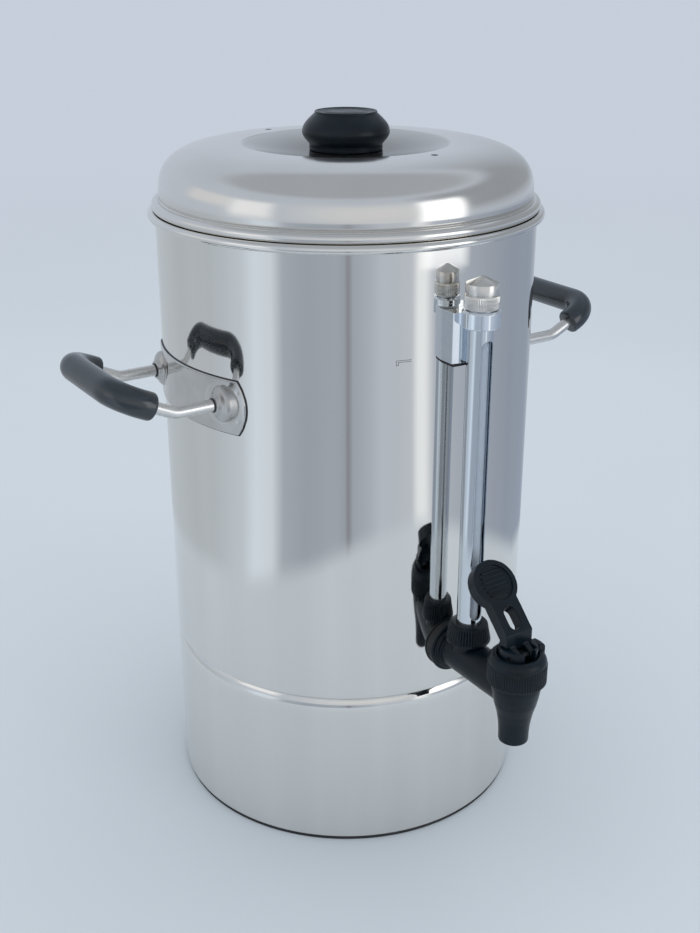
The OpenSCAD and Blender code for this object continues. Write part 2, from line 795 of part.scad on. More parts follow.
earth_y = 72;
module earth_stud() {
  color("goldenrod") translate([0, earth_y, plate_z]) {
    cylinder(r = earth_r, h = earth_l);
    translate([0, 0, plate_t]) linear_extrude(3) hexagon(3.5 * earth_r);
  }
}

module wall_flange(w, h) {
  difference() {
    translate([-w / 2, R - 3, -h / 2]) cube([w, bezel_t + 3, h]);
    translate([0, 0, -h]) cylinder(r = bezel_in, h = 2 * h, $fn = fine);
  }
}
module power_inlet() {
  color("black") at_wall(0) difference() {
    union() {
      wall_flange(inlet_w + 2 * inlet_wall + 2 * inlet_flange, inlet_h + 2 * inlet_wall + 2 * inlet_flange);
      translate([-inlet_w / 2 - inlet_wall, inlet_back, -inlet_h / 2 - inlet_wall])
        cube([inlet_w + 2 * inlet_wall, bezel_out - inlet_back, inlet_h + 2 * inlet_wall]);
    }
    translate([-inlet_w / 2, inlet_back + inlet_wall, -inlet_h / 2])
      cube([inlet_w, inlet_depth + cut, inlet_h]);
    for (k = [-1, 0, 1]) pin_place(k) pin_blade(seat_gap);
  }
}
pin_w = 2;
pin_h = 4;
pin_rise = 1.2;
module pin_place(k) {
  translate([k * inlet_pitch, 0, k == 0 ? pin_rise + 2 : pin_rise - 2]) children();
}
module pin_blade(g) {
  translate([-pin_w / 2 - g, inlet_back - tab_h, -pin_h / 2 - g])
    cube([pin_w + 2 * g, tab_h + inlet_wall + inlet_depth - 3, pin_h + 2 * g]);
}
module inlet_pins() {
  color("lightgray") at_wall(0) for (k = [-1, 0, 1]) pin_place(k) pin_blade(0);
}

rocker_body_back = bezel_out - rocker_depth;
module switch_frame() {
  color("black") at_wall(mains_step) difference() {
    union() {
      wall_flange(rocker_w + 2 * rocker_wall + 4, rocker_h + 2 * rocker_wall + 4);
      translate([-rocker_w / 2 - rocker_wall, rocker_body_back, -rocker_h / 2 - rocker_wall])
        cube([rocker_w + 2 * rocker_wall, rocker_depth, rocker_h + 2 * rocker_wall]);
      for (s = [-1, 1]) translate([s * 5, rocker_body_back - tab_h / 2, 0])
        cube([tab_t, tab_h, tab_wide], center = true);
    }
    translate([-rocker_w / 2, rocker_body_back + rocker_wall, -rocker_h / 2])
      cube([rocker_w, rocker_depth, rocker_h]);
    translate([0, rocker_axis_y, 0]) cylinder(r = 1 + run_gap, h = rocker_h + rocker_wall, center = true);
  }
}
module switch_rocker() {
  half = rocker_w / 2 - rocker_play;
  color("darkred") at_wall(mains_step) translate([0, rocker_axis_y, 0]) rotate([0, 0, rocker_tilt]) {
    linear_extrude(rocker_h - 2 * rocker_play, center = true)
      polygon([[-half * 0.94, 1.2], [-half * 0.94, 4.6], [0, 3.4], [half * 0.94, 4.6], [half * 0.94, 1.2],
        [2.4, -2.6], [-2.4, -2.6]]);
    cylinder(r = 1, h = rocker_h + rocker_wall - 0.2, center = true);
  }
}

module indicator_lamp() {
  color("orangered") at_wall(-mains_step) difference() {
    union() {
      translate([0, R - 14, 0]) rotate([-90, 0, 0]) cylinder(r = lamp_r, h = 14 + bezel_t);
      difference() {
        translate([0, R - 2, 0]) rotate([-90, 0, 0]) cylinder(r = lamp_r + 2, h = 2 + bezel_t * 0.7);
        translate([0, 0, -lamp_r - 4]) cylinder(r = bezel_in, h = 2 * lamp_r + 8, $fn = fine);
      }
      for (s = [-1, 1]) translate([s * 2.5, R - 14 - tab_h / 2, 0]) cube([tab_t, tab_h, 3], center = true);
    }
  }
}

// Wires: each runs from tab to tab, on points chosen by hand
function on_wall(a, x, y, z) = [x * cos(a) - y * sin(a), x * sin(a) + y * cos(a), mains_z + z];
wire_gap = wire_r + 0.3;
pin_tail = inlet_back - tab_h;
live_in = on_wall(0, -inlet_pitch, pin_tail - 0.3, pin_rise - 2);
neutral_in = on_wall(0, inlet_pitch, pin_tail - 0.3, pin_rise - 2);
earth_in = on_wall(0, 0, pin_tail - 0.3, pin_rise + 2);
switch_a = on_wall(mains_step, 5, rocker_body_back - tab_h - 0.3, 0);
switch_b = on_wall(mains_step, -5, rocker_body_back - tab_h - 0.3, 0);
lamp_a = on_wall(-mains_step, -2.5, R - 14 - tab_h - 0.3, 0);
lamp_b = on_wall(-mains_step, 2.5, R - 14 - tab_h - 0.3, 0);
stat_tab = stat_z - tab_h - 0.3;
leg_tip = leg_z - 0.3;
wire_sides = 8;
module wire(p) {
  tube(p, wire_r, wire_sides, [0.3, 0.5, 0.81]);
}
module live_wires() {
  color("sienna") {
    wire([live_in, live_in + [0, -6, 0], live_in + [-6, -12, -2], switch_a + [6, -12, -2],
      switch_a + [3.2, -7.2, 0], switch_a]);
    wire([switch_b, switch_b + [3.2, -7.2, 0], [-36, 40, mains_z], [-stat_at - 5, 14, stat_tab - 8],
      [-stat_at - 5, 0, stat_tab - 7], [-stat_at - 5, 0, stat_tab]]);
    wire([[-stat_at + 5, 0, stat_tab], [-stat_at + 5, 0, stat_tab - 6], [-12, -4, stat_tab - 9],
      [12, -4, stat_tab - 9], [stat_at - 5, 0, stat_tab - 6], [stat_at - 5, 0, stat_tab]]);
    wire([[stat_at + 5, 0, stat_tab], [stat_at + 5, 0, stat_tab - 6], [stat_at + 2, 20, stat_tab - 9],
      [leg_half + 4, leg_at - 14, leg_tip - 7], [leg_half, leg_at, leg_tip - 6],
      [leg_half, leg_at, leg_tip]]);
  }
}
module neutral_wires() {
  color("steelblue") {
    wire([neutral_in, neutral_in + [0, -6, 0], neutral_in + [6, -12, 6], lamp_a + [-6, -12, 6],
      lamp_a + [-2.8, -6.4, 0], lamp_a]);
    wire([lamp_b, lamp_b + [-2.8, -6.4, 0], lamp_b + [-6, -14, -8], [4, 56, mains_z - 4],
      [-leg_half + 2, leg_at - 6, leg_tip - 12], [-leg_half, leg_at, leg_tip - 6],
      [-leg_half, leg_at, leg_tip]]);
  }
}
module earth_wire() {
  color("yellowgreen") wire([earth_in, earth_in + [0, -5, -1], [0, earth_y + 4, plate_z + earth_l + 12],
    [0, earth_y, plate_z + earth_l + 6], [0, earth_y, plate_z + earth_l + 0.3]]);
}

// The lid's outer line, from the skirt's foot to the axis
bowl_r = knob_foot_r + 3.5;
bowl_edge = 0.6;
bowl_pow = 1.6;
lid_line = concat(
  [[lid_r, skirt_z]],
  [for (k = [0:bead_steps]) let (a = -bead_a0 + 2 * bead_a0 * k / bead_steps)
    [bead_at + lid_bead_r * cos(a), bead_mid + lid_bead_r * sin(a)]],
  [[lid_r - 0.6, dome_z0 - 0.8]],
  [for (k = [0:dome_steps]) let (t = k / dome_steps, a = 90 * t)
    [dome_r + (lid_r - dome_r) * pow(cos(a), 2 / dome_pow), dome_z0 + dome_rise * pow(sin(a), 2 / dome_pow)]],
  [[lid_ring_r + 1.6, lid_top], [lid_ring_r - 1.6, lid_top],
    [lid_dish_r + 3, lid_top - 0.05]],
  [for (k = [0:6]) let (t = 1 - k / 6)
    [bowl_r + (lid_dish_r - bowl_r) * t, dish_z + (lid_dish - bowl_edge) * pow(t, bowl_pow)]],
  [[knob_screw_r + screw_gap, dish_z]]);
module lid_shell() {
  color("silver") difference() {
    rotate_extrude() polygon(sheet_of(lid_line, sheet));
    rotate([0, 0, vent_turn]) for (s = [-1, 1]) translate([0, s * lid_ring_r, lid_top - 4])
      cylinder(r = lid_vent_r, h = 8);
  }
}

knob_line = concat(
  [[0, dish_z + seat_gap], [knob_foot_r - 1, dish_z + seat_gap], [knob_foot_r, dish_z + 1]],
  [for (k = [0:5]) let (t = k / 5)
    [knob_foot_r + (knob_r - knob_foot_r) * sin(90 * t),
    dish_z + knob_ring_h + (knob_wide_z - 1 - knob_ring_h) * t]],
  [for (k = [1:7]) let (a = 90 * k / 8)
    [knob_top_r + (knob_r - knob_top_r) * pow(cos(a), 2.4),
    dish_z + knob_wide_z - 1 + (knob_h - knob_lip - knob_wide_z + 1) * sin(a)]],
  [[knob_top_r, dish_z + knob_h - knob_lip]],
  [[knob_top_r, dish_z + knob_h], [knob_top_r - 1.2, dish_z + knob_h - knob_dish * 0.7],
    [0, dish_z + knob_h - knob_dish]]);
module lid_knob() {
  color("black") difference() {
    rotate_extrude() polygon(knob_line);
    translate([0, 0, dish_z - cut]) cylinder(r = knob_screw_r + seat_gap, h = knob_screw_l + 2 * cut);
  }
}
module knob_washer() {
  color("lightgray") translate([0, 0, dish_z - sheet - knob_washer_t]) difference() {
    cylinder(r = knob_washer_r, h = knob_washer_t);
    translate([0, 0, -cut]) cylinder(r = knob_screw_r + screw_gap, h = knob_washer_t + 2 * cut);
  }
}
module knob_screw() {
  z = dish_z - sheet - knob_washer_t;
  color("lightgray") {
    translate([0, 0, z]) cylinder(r = knob_screw_r, h = knob_screw_l + sheet + knob_washer_t);
    difference() {
      translate([0, 0, z - knob_screw_head_h]) cylinder(r = knob_screw_head_r, h = knob_screw_head_h);
      translate([0, 0, z - knob_screw_head_h]) cube([knob_screw_head_r * 2.4, 1, 2], center = true);
    }
  }
}

// Handles are drawn on +X and mirrored
module handle_plate_outline() {
  intersection() {
    square([2 * (handle_plate_half + handle_plate_bulge) + 2, handle_plate_h], center = true);
    union() {
      square([2 * bulge_at, handle_plate_h + 2], center = true);
      for (m = [-1, 1]) translate([m * bulge_at, 0]) circle(bulge_r);
    }
  }
}
module handle_plate() {
  translate([0, 0, handle_z]) difference() {
    union() {
      intersection() {
        translate([0, 0, -handle_plate_h]) cylinder(r = plate_out, h = 2 * handle_plate_h, $fn = fine);
        translate([0, 0, -plate_drop]) rotate([90, 0, 90]) linear_extrude(2 * R) handle_plate_outline();
      }
      for (s = [-1, 1]) translate([boss_at - 6, s * handle_half, 0]) rotate([0, 90, 0])
        rotate_extrude() polygon([[0, 0], [boss_r, 0], [boss_r, 6], [boss_r * 0.94, 7.4],
          [boss_r * 0.8, 8.8], [boss_nose_r * 1.35, 6 + boss_h - 2.2],
          [boss_nose_r * 1.08, 6 + boss_h - 0.8], [boss_nose_r, 6 + boss_h], [0, 6 + boss_h]]);
    }
    translate([0, 0, -handle_plate_h]) cylinder(r = plate_in, h = 2 * handle_plate_h, $fn = fine);
    for (s = [-1, 1]) translate([boss_at - 6, s * handle_half, 0]) rotate([0, 90, 0])
      cylinder(r = rod_r + seat_gap, h = far);
  }
}

// The rod's line with any radius: straight, knee, slope, corner, cross bar
module knee(r) {
  translate([rod_knee, 0, knee_bend]) rotate([90, 0, 0]) rotate([0, 0, -90 - lap])
    rotate_extrude(angle = handle_slope + 2 * lap) translate([knee_bend, 0]) circle(r + bend_step);
}
module on_slope() {
  translate([rod_knee, 0, knee_bend]) rotate([0, -handle_slope, 0]) translate([0, 0, -knee_bend])
    children();
}
module slope_u(r, from) {
  for (m = [0, 1]) mirror([0, m, 0]) {
    translate([from, handle_half, 0]) rotate([0, 90, 0]) cylinder(r = r, h = leg_end - from);
    translate([leg_end, corner_half, 0])
      rotate_extrude(angle = 90) translate([corner_bend, 0]) circle(r);
  }
  translate([handle_reach, -corner_half, 0]) rotate([-90, 0, 0]) cylinder(r = r, h = 2 * corner_half);
}
module handle_rod() {
  translate([0, 0, handle_z]) {
    for (s = [-1, 1]) translate([0, s * handle_half, 0]) {
      translate([rod_start, 0, 0]) rotate([0, 90, 0]) cylinder(r = rod_r, h = rod_knee - rod_start);
      knee(rod_r);
    }
    on_slope() slope_u(rod_r, 0);
  }
}
module handle_grip() {
  translate([0, 0, handle_z]) on_slope() difference() {
    slope_u(grip_r, grip_start);
    slope_u(rod_r + grip_play, grip_start - 1);
  }
}
module handle_plate_left() { color("gainsboro") mirror([1, 0, 0]) handle_plate(); }
module handle_plate_right() { color("gainsboro") handle_plate(); }
module handle_rod_left() { color("lightgray") mirror([1, 0, 0]) handle_rod(); }
module handle_rod_right() { color("lightgray") handle_rod(); }
module handle_grip_left() { color("black") mirror([1, 0, 0]) handle_grip(); }
module handle_grip_right() { color("black") handle_grip(); }

// Gauge
// The bracket seen from above, drawn in by an inset
function bracket_plan(inset) = let (half = bracket_w / 2 - inset, front = bracket_waist / 2 - inset)
  [[-half, -R + 4], [half, -R + 4], [half, -R - bracket_side], [front, -gauge_y + shield_r + inset],
    [-front, -gauge_y + shield_r + inset], [-half, -R - bracket_side]];
// The curved sheet behind the bracket, between two heights
module pad_sheet(side, low, high, out) {
  intersection() {
    translate([-bracket_w / 2 + side, -R - far, low]) cube([bracket_w - 2 * side, far, high - low]);
    translate([0, 0, low - cut]) cylinder(r = R + out, h = high - low + 2 * cut, $fn = fine);
  }
}
module gauge_bracket() {
  color("whitesmoke") difference() {
    union() {
      translate([0, 0, bracket_z]) linear_extrude(bracket_h) polygon(bracket_plan(0));
      at_gauge() translate([0, 0, collar_z]) rotate_extrude()
        polygon([[0, 0], [collar_r - 0.5, 0], [collar_r, 0.5], [collar_r, collar_h - 1],
          [collar_r - 1, collar_h], [0, collar_h]]);
    }
    translate([0, 0, bracket_z - cut]) cylinder(r = R + seat_gap, h = bracket_h + 2 * cut, $fn = fine);
    pad_sheet(pad_inset - seat_gap, bracket_z - cut, bracket_top - pad_inset, pad_t + seat_gap);
    at_gauge() translate([0, 0, bracket_z - cut]) cylinder(r = shield_r + seat_gap, h = bracket_h + far);
    translate([0, -R, bracket_screw_z]) rotate([90, 0, 0])
      cylinder(r = bracket_screw_r + seat_gap, h = bracket_screw_in + 0.3);
  }
}
module bracket_pad() {
  color("black") difference() {
    union() {
      pad_sheet(pad_inset, bracket_z - pad_drop, bracket_top - pad_inset - seat_gap, pad_t);
      translate([0, 0, bracket_z - pad_drop]) linear_extrude(pad_drop - seat_gap)
        polygon(bracket_plan(pad_inset));
    }
    translate([0, 0, bracket_z - far]) cylinder(r = R + seat_gap, h = bracket_h + 2 * far, $fn = fine);
    at_gauge() translate([0, 0, bracket_z - far]) cylinder(r = shield_r + seat_gap, h = far);
    translate([0, -R + far / 4, bracket_screw_z]) rotate([90, 0, 0])
      cylinder(r = bracket_screw_r + screw_gap, h = far);
  }
}
module screw_seal() {
  color("black") difference() {
    intersection() {
      translate([0, -R_in + screw_seal_t, bracket_screw_z]) rotate([90, 0, 0])
        cylinder(r = bracket_head_r + 1, h = 2 * screw_seal_t);
      translate([0, 0, bracket_z]) cylinder(r = R_in - seat_gap, h = bracket_h, $fn = fine);
    }
    translate([0, -R + far / 4, bracket_screw_z]) rotate([90, 0, 0])
      cylinder(r = bracket_screw_r + screw_gap, h = far);
  }
}
module bracket_screw() {
  color("lightgray") translate([0, -R_in + screw_seal_t, bracket_screw_z]) rotate([90, 0, 0]) {
    cylinder(r = bracket_screw_r, h = screw_seal_t + sheet + bracket_screw_in);
    translate([0, 0, -bracket_head_h]) cylinder(r = bracket_head_r, h = bracket_head_h);
  }
}
module gauge_shield() {
  color("whitesmoke") at_gauge() difference() {
    translate([0, 0, shield_z]) cylinder(r = shield_r, h = shield_l);
    translate([0, 0, shield_z - cut]) cylinder(r = shield_r - shield_t, h = shield_l + 2 * cut);
    translate([0, 0, slot_z + slot_w / 2]) rotate([90, 0, 0]) cylinder(r = slot_w / 2, h = far);
    translate([0, 0, slot_z + slot_l - slot_w / 2]) rotate([90, 0, 0]) cylinder(r = slot_w / 2, h = far);
    translate([-slot_w / 2, -far, slot_z + slot_w / 2]) cube([slot_w, far, slot_l - slot_w]);
  }
}
module gauge_glass() {
  color("lightcyan") at_gauge() translate([0, 0, glass_z]) difference() {
    cylinder(r = glass_r, h = glass_l);
    translate([0, 0, -cut]) cylinder(r = glass_r - glass_t, h = glass_l + 2 * cut);
  }
}
module gauge_seal() {
  color("black") at_gauge() translate([0, 0, seal_z]) difference() {
    cylinder(r = spigot_r - 0.4, h = seal_h);
    translate([0, 0, -cut]) cylinder(r = glass_r + seat_gap, h = seal_h + 2 * cut);
  }
}
module gauge_nut() {
  color("black") at_gauge() difference() {
    translate([0, 0, nut_z + seat_gap]) rotate_extrude()
      polygon([[0, 0], [nut_r - 0.5, 0], [nut_r, 0.6], [nut_r - 0.2, 2], [nut_top_r + 0.9, nut_h - 1.2],
        [nut_top_r, nut_h - seat_gap], [0, nut_h - seat_gap]]);
    translate([0, 0, nut_z - cut]) cylinder(r = spigot_r + seat_gap, h = shield_z - nut_z + cut);
    translate([0, 0, nut_z]) cylinder(r = shield_r + seat_gap, h = far);
    for (k = [0:nut_rib_n - 1]) rotate([0, 0, 360 * k / nut_rib_n])
      translate([nut_r - 0.2, 0, nut_z + 2]) rotate([0, nut_lean, 0])
        translate([-nut_groove, -nut_groove, -far]) cube([far, 2 * nut_groove, 2 * far]);
  }
}
nut_lean = -atan((nut_r - 0.2 - nut_top_r - 0.9) / (nut_h - 3.2));
module gauge_cap() {
  color("tan") at_gauge() difference() {
    union() {
      translate([0, 0, cap_z]) linear_extrude(cap_knurl_h) ribbed(cap_knurl_r, 0.35, cap_knurl_n);
      translate([0, 0, cap_z + cap_knurl_h]) rotate_extrude()
        polygon([[0, 0], [cap_r, 0], [cap_r, cap_plain_h - 0.5], [cap_r - 0.5, cap_plain_h],
          [1, cap_plain_h + cap_cone_h], [0, cap_plain_h + cap_cone_h]]);
    }
    translate([0, 0, cap_z - cut]) cylinder(r = shield_r + run_gap, h = cap_h - cap_cone_h - cap_roof + cut);
  }
}

// Tap
spout_line = [[0, spout_z], [spout_r - 0.5, spout_z], [spout_r, spout_z + 0.6],
  [spout_r + 0.1, spout_z + 6], [spout_r + 0.4, spout_z + 10], [spout_r + 1, spout_z + 14.5],
  [spout_r + 2, spout_top], [0, spout_top]];
valve_line = [[0, spout_top], [spout_r + 2, spout_top], [spout_r + 3.6, tap_z - 7],
  [valve_r - 0.8, tap_z - 2], [valve_r, tap_z + 3], [valve_r, valve_z], [0, valve_z]];
module tap_body() {
  color("black") difference() {
    union() {
      along_y(shank_y) cylinder(r = shank_r, h = seal_face - shank_y);
      difference() {
        union() {
          along_y(seal_face) cylinder(r = flange_r, h = flange_t);
          along_y(step_face) cylinder(r = flange_step_r, h = flange_t);
          along_y(barrel_face) cylinder(r = barrel_r, h = valve_y - barrel_face);
        }
        at_gauge() translate([0, 0, riser_z - 0.2]) cylinder(r = nut_r + 0.4, h = far);
        at_valve() translate([0, 0, bonnet_z - 0.3]) cylinder(r = bonnet_r + 0.4, h = far);
      }
      at_gauge() translate([0, 0, tap_z]) cylinder(r = riser_r, h = riser_z - tap_z);
      at_gauge() translate([0, 0, tap_z]) cylinder(r = spigot_r, h = spigot_z - tap_z);
      at_valve() rotate_extrude() polygon(valve_line);
    }
    along_y(shank_y - cut) cylinder(r = barrel_bore, h = valve_y - shank_y + cut);
    at_valve() translate([0, 0, seat_z]) cylinder(r = chamber_r, h = valve_z - seat_z + cut);
    at_valve() translate([0, 0, spout_top - cut]) cylinder(r = spout_bore, h = seat_z - spout_top + 2 * cut);
    at_gauge() translate([0, 0, tap_z]) cylinder(r = riser_bore, h = glass_z - tap_z + cut);
    at_gauge() translate([0, 0, glass_z - seat_gap]) cylinder(r = glass_r + seat_gap, h = far);
  }
}
module tap_spout() {
  color("black") at_valve() difference() {
    rotate_extrude() polygon(spout_line);
    translate([0, 0, spout_z - cut]) cylinder(r = spout_bore, h = spout_top - spout_z + 2 * cut);
  }
}
module tap_seal_outer() {
  color("black") difference() {
    along_y(R - 4) cylinder(r = flange_r - 0.6, h = seal_out_t + 4);
    translate([0, 0, tap_z - far]) cylinder(r = R + seat_gap, h = 2 * far, $fn = fine);
    along_y(R - 5) cylinder(r = shank_r + seat_gap, h = seal_out_t + 6);
  }
}
module tap_seal_inner() {
  color("black") difference() {
    intersection() {
      along_y(seal_in_face) cylinder(r = flange_step_r, h = seal_in_t + 4);
      translate([0, 0, tap_z - far]) cylinder(r = R_in - seat_gap, h = 2 * far, $fn = fine);
    }
    along_y(seal_in_face - cut) cylinder(r = shank_r + seat_gap, h = seal_in_t + 6);
  }
}
module tap_lock_nut() {
  color("ivory") along_y(lock_nut_y) difference() {
    linear_extrude(lock_nut_t) hexagon(lock_nut_af);
    translate([0, 0, -cut]) cylinder(r = shank_r + seat_gap, h = lock_nut_t + 2 * cut);
  }
}
module tap_bonnet() {
  rib_top = bonnet_top - bonnet_round;
  color("black") at_valve() difference() {
    union() {
      translate([0, 0, bonnet_z + 0.8]) linear_extrude(rib_top - bonnet_z - 0.8)
        ribbed(bonnet_r, bonnet_rib, bonnet_rib_n);
      rotate_extrude() polygon(concat(
        [[0, bonnet_z], [bonnet_r - 1.2, bonnet_z], [bonnet_r - bonnet_rib, bonnet_z + 0.8]],
        [for (k = [0:6]) let (a = 90 * k / 6)
          [bonnet_hole + 0.9 + (bonnet_r - bonnet_rib - bonnet_hole - 0.9) * cos(a),
          rib_top + bonnet_round * sin(a)]],
        [[bonnet_hole, bonnet_top - 0.6], [0, bonnet_top - 0.6]]));
      intersection() {
        translate([bonnet_hole + 0.8, -tab_w / 2, rib_top - 2])
          cube([bonnet_r, tab_w, bonnet_round + 2 + tab_up]);
        rotate_extrude() polygon([[0, rib_top - 4], [bonnet_r - bonnet_rib, rib_top - 4],
          [bonnet_r - bonnet_rib, bonnet_top + tab_up - 1.6], [bonnet_r - 1.6, bonnet_top + tab_up],
          [0, bonnet_top + tab_up]]);
      }
    }
    translate([0, 0, bonnet_z - cut])
      cylinder(r = valve_r + seat_gap, h = guide_top + seat_gap - bonnet_z + cut);
    translate([0, 0, bonnet_z]) cylinder(r = bonnet_hole, h = far);
  }
}
module tap_guide() {
  color("dimgray") difference() {
    at_valve() union() {
      translate([0, 0, guide_z]) cylinder(r = guide_flange_r, h = guide_flange_t);
      translate([0, 0, guide_z]) cylinder(r = crown_r, h = crown_top - guide_z);
    }
    translate([-pocket_half, -pocket_front, pocket_z])
      cube([2 * pocket_half, pocket_front - pocket_back, far]);
    translate([-notch_w / 2, -pocket_front - far, pin_z - pin_boss])
      cube([notch_w, far + cut, far]);
    translate([-pocket_half + 2, -pocket_back - cut, pin_z]) cube([2 * pocket_half - 4, far, far]);
    at_valve() translate([0, 0, guide_z - cut]) cylinder(r = stem_r + run_gap, h = far);
    translate([0, -pin_y, pin_z]) rotate([0, 90, 0])
      cylinder(r = pin_r + seat_gap / 2, h = 2 * far, center = true);
  }
}
pin_half = sqrt(crown_r * crown_r - pin_fwd * pin_fwd) - 0.8;
module lever_pin() {
  color("lightgray") translate([-pin_half, -pin_y, pin_z]) rotate([0, 90, 0])
    cylinder(r = pin_r, h = 2 * pin_half);
}

// The lever is drawn in the side view: first number out from the tank, second up
function on_arm(a, u) = elbow + a * arm_dir + u * arm_nrm;
module arm_place(a) {
  p = on_arm(a, 0);
  translate([0, -p[0], p[1]]) rotate([90 - arm_lean, 0, 0]) children();
}
module tap_lever() {
  color("black") difference() {
    union() {
      side_view(arm_w) polygon([elbow, on_arm(arm_l, 0), on_arm(arm_l, -arm_t),
        [neck_back, elbow_z - elbow_back_drop], [neck_back, neck_z], [neck_front, neck_z]]);
      arm_place(arm_l) translate([0, 0, -arm_t]) cylinder(r = pad_r, h = arm_t);
      side_view(2 * cheek_out) polygon([[neck_back, neck_z + 0.4], [neck_front, neck_z + 0.4],
        [neck_front, bridge_z], [neck_back, bridge_z]]);
      for (s = [-1, 1]) translate([s * (cheek_in + cheek_out) / 2, 0, 0]) side_view(cheek_out - cheek_in) {
        translate([pin_y, pin_z]) circle(pin_boss);
        translate([nose_y, nose_z]) circle(nose_boss);
        polygon([[neck_back, neck_z], [neck_front, neck_z],
          [pin_y + pin_boss * cos(55), pin_z + pin_boss * sin(55)],
          [pin_y, pin_z], [nose_y, nose_z], [neck_back, nose_z + 1]]);
        polygon([[pin_y, pin_z], [pin_y + pin_boss * cos(-70), pin_z + pin_boss * sin(-70)],
          [nose_y + nose_boss * cos(-70), nose_z + nose_boss * sin(-70)], [nose_y, nose_z]]);
      }
      translate([0, -nose_y, nose_z]) rotate([0, 90, 0])
        cylinder(r = nose_r, h = 2 * cheek_out, center = true);
    }
    translate([0, -pin_y, pin_z]) rotate([0, 90, 0]) cylinder(r = pin_r + run_gap, h = far, center = true);
    arm_place(arm_l) translate([0, 0, -pad_dish]) cylinder(r = pad_dish_r, h = far);
    arm_place(arm_slot_at) translate([0, 0, -far / 2]) linear_extrude(far) {
      square([arm_slot_w, arm_slot_l - arm_slot_w], center = true);
      for (s = [-1, 1]) translate([0, s * (arm_slot_l - arm_slot_w) / 2]) circle(arm_slot_w / 2);
    }
  }
  color("black") arm_place(arm_l) for (k = [0:ridge_n - 1]) ridge(k);
}
ridge_step = 2 * pad_dish_r / (ridge_n + 2);
module ridge(k) {
  v = (k - (ridge_n - 1) / 2) * ridge_step;
  half = sqrt(pad_dish_r * pad_dish_r - v * v) * ridge_share;
  translate([0, v, -pad_dish - 0.4]) translate([-half, -ridge_step / 4, 0])
    cube([2 * half, ridge_step / 2, 0.4 + pad_dish * 0.7]);
}

module tap_stem() {
  color("ivory") difference() {
    union() {
      at_valve() translate([0, 0, stem_z]) cylinder(r = stem_r, h = tang_z - stem_z + 0.5);
      translate([-tang_half, -valve_y - tang_front, tang_z])
        cube([2 * tang_half, tang_front + tang_back, tang_top - tang_z]);
    }
    translate([-far / 2, -nose_y - window_wide, nose_z - window_half])
      cube([far, 2 * window_wide, 2 * window_half]);
  }
}
window_wide = nose_r + nose_l * (1 - cos(swing_half)) + 0.12;
module seat_cup() {
  color("lightgray") at_valve() difference() {
    translate([0, 0, cup_z]) rotate_extrude()
      polygon([[0, 0], [cup_r - 0.8, 0], [cup_r, 1.2], [cup_r, cup_h], [0, cup_h]]);
    translate([0, 0, stem_z - seat_gap]) cylinder(r = stem_r + seat_gap, h = cup_h);
  }
}
spring_n = 12;
spring_rise = spring_top - spring_z - 2 * spring_wire;
module tap_spring() {
  steps = spring_turns * spring_n;
  color("silver") at_valve() tube([for (i = [0:steps]) let (a = 360 * i / spring_n)
    [spring_r * cos(a), spring_r * sin(a), spring_z + spring_wire + spring_rise * i / steps]],
    spring_wire, 6, [0, 0, 1]);
}

tank_shell();
tank_floor();
base_ring();
base_plate();
foot_ring();
base_screws();
heating_element();
element_seals();
element_nuts();
thermostat();
thermal_cutout();
reset_button();
earth_stud();
power_inlet();
inlet_pins();
switch_frame();
switch_rocker();
indicator_lamp();
live_wires();
neutral_wires();
earth_wire();
lid_shell();
lid_knob();
knob_screw();
knob_washer();
handle_plate_left();
handle_plate_right();
handle_rod_left();
handle_rod_right();
handle_grip_left();
handle_grip_right();
gauge_bracket();
bracket_pad();
bracket_screw();
screw_seal();
gauge_shield();
gauge_glass();
gauge_seal();
gauge_nut();
gauge_cap();
tap_body();
tap_spout();
tap_seal_outer();
tap_seal_inner();
tap_lock_nut();
tap_bonnet();
tap_guide();
tap_lever();
lever_pin();
tap_stem();
seat_cup();
tap_spring();
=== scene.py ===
"""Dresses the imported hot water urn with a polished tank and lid, handles, a level gauge and a lever tap."""

import math

import bmesh
import bpy
from bpy.props import FloatProperty, FloatVectorProperty, IntProperty, PointerProperty
from mathutils import Matrix, Vector


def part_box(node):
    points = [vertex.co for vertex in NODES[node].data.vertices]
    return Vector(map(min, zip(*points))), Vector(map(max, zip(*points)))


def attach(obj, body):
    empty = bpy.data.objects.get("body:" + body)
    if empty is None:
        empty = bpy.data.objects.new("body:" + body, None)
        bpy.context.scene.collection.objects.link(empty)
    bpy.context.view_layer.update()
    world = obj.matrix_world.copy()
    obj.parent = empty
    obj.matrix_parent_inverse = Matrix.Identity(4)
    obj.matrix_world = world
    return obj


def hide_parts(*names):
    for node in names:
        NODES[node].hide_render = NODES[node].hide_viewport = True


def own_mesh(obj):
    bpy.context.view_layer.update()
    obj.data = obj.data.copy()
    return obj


bl_info = {
    "name": "Hot Water Urn",
    "version": (1, 0, 0),
    "blender": (4, 5, 0),
    "location": "View3D > Sidebar > Urn",
    "description": "Dresses the packed hot water urn with smooth pieces, finishes and a plain stage",
    "category": "Object",
}

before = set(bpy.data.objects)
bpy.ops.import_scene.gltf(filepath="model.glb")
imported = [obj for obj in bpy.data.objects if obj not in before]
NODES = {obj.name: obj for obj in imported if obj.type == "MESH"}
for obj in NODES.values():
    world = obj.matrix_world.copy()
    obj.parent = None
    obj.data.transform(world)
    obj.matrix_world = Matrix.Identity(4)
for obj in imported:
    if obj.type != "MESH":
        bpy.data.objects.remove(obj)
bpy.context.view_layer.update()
MM = 0.001

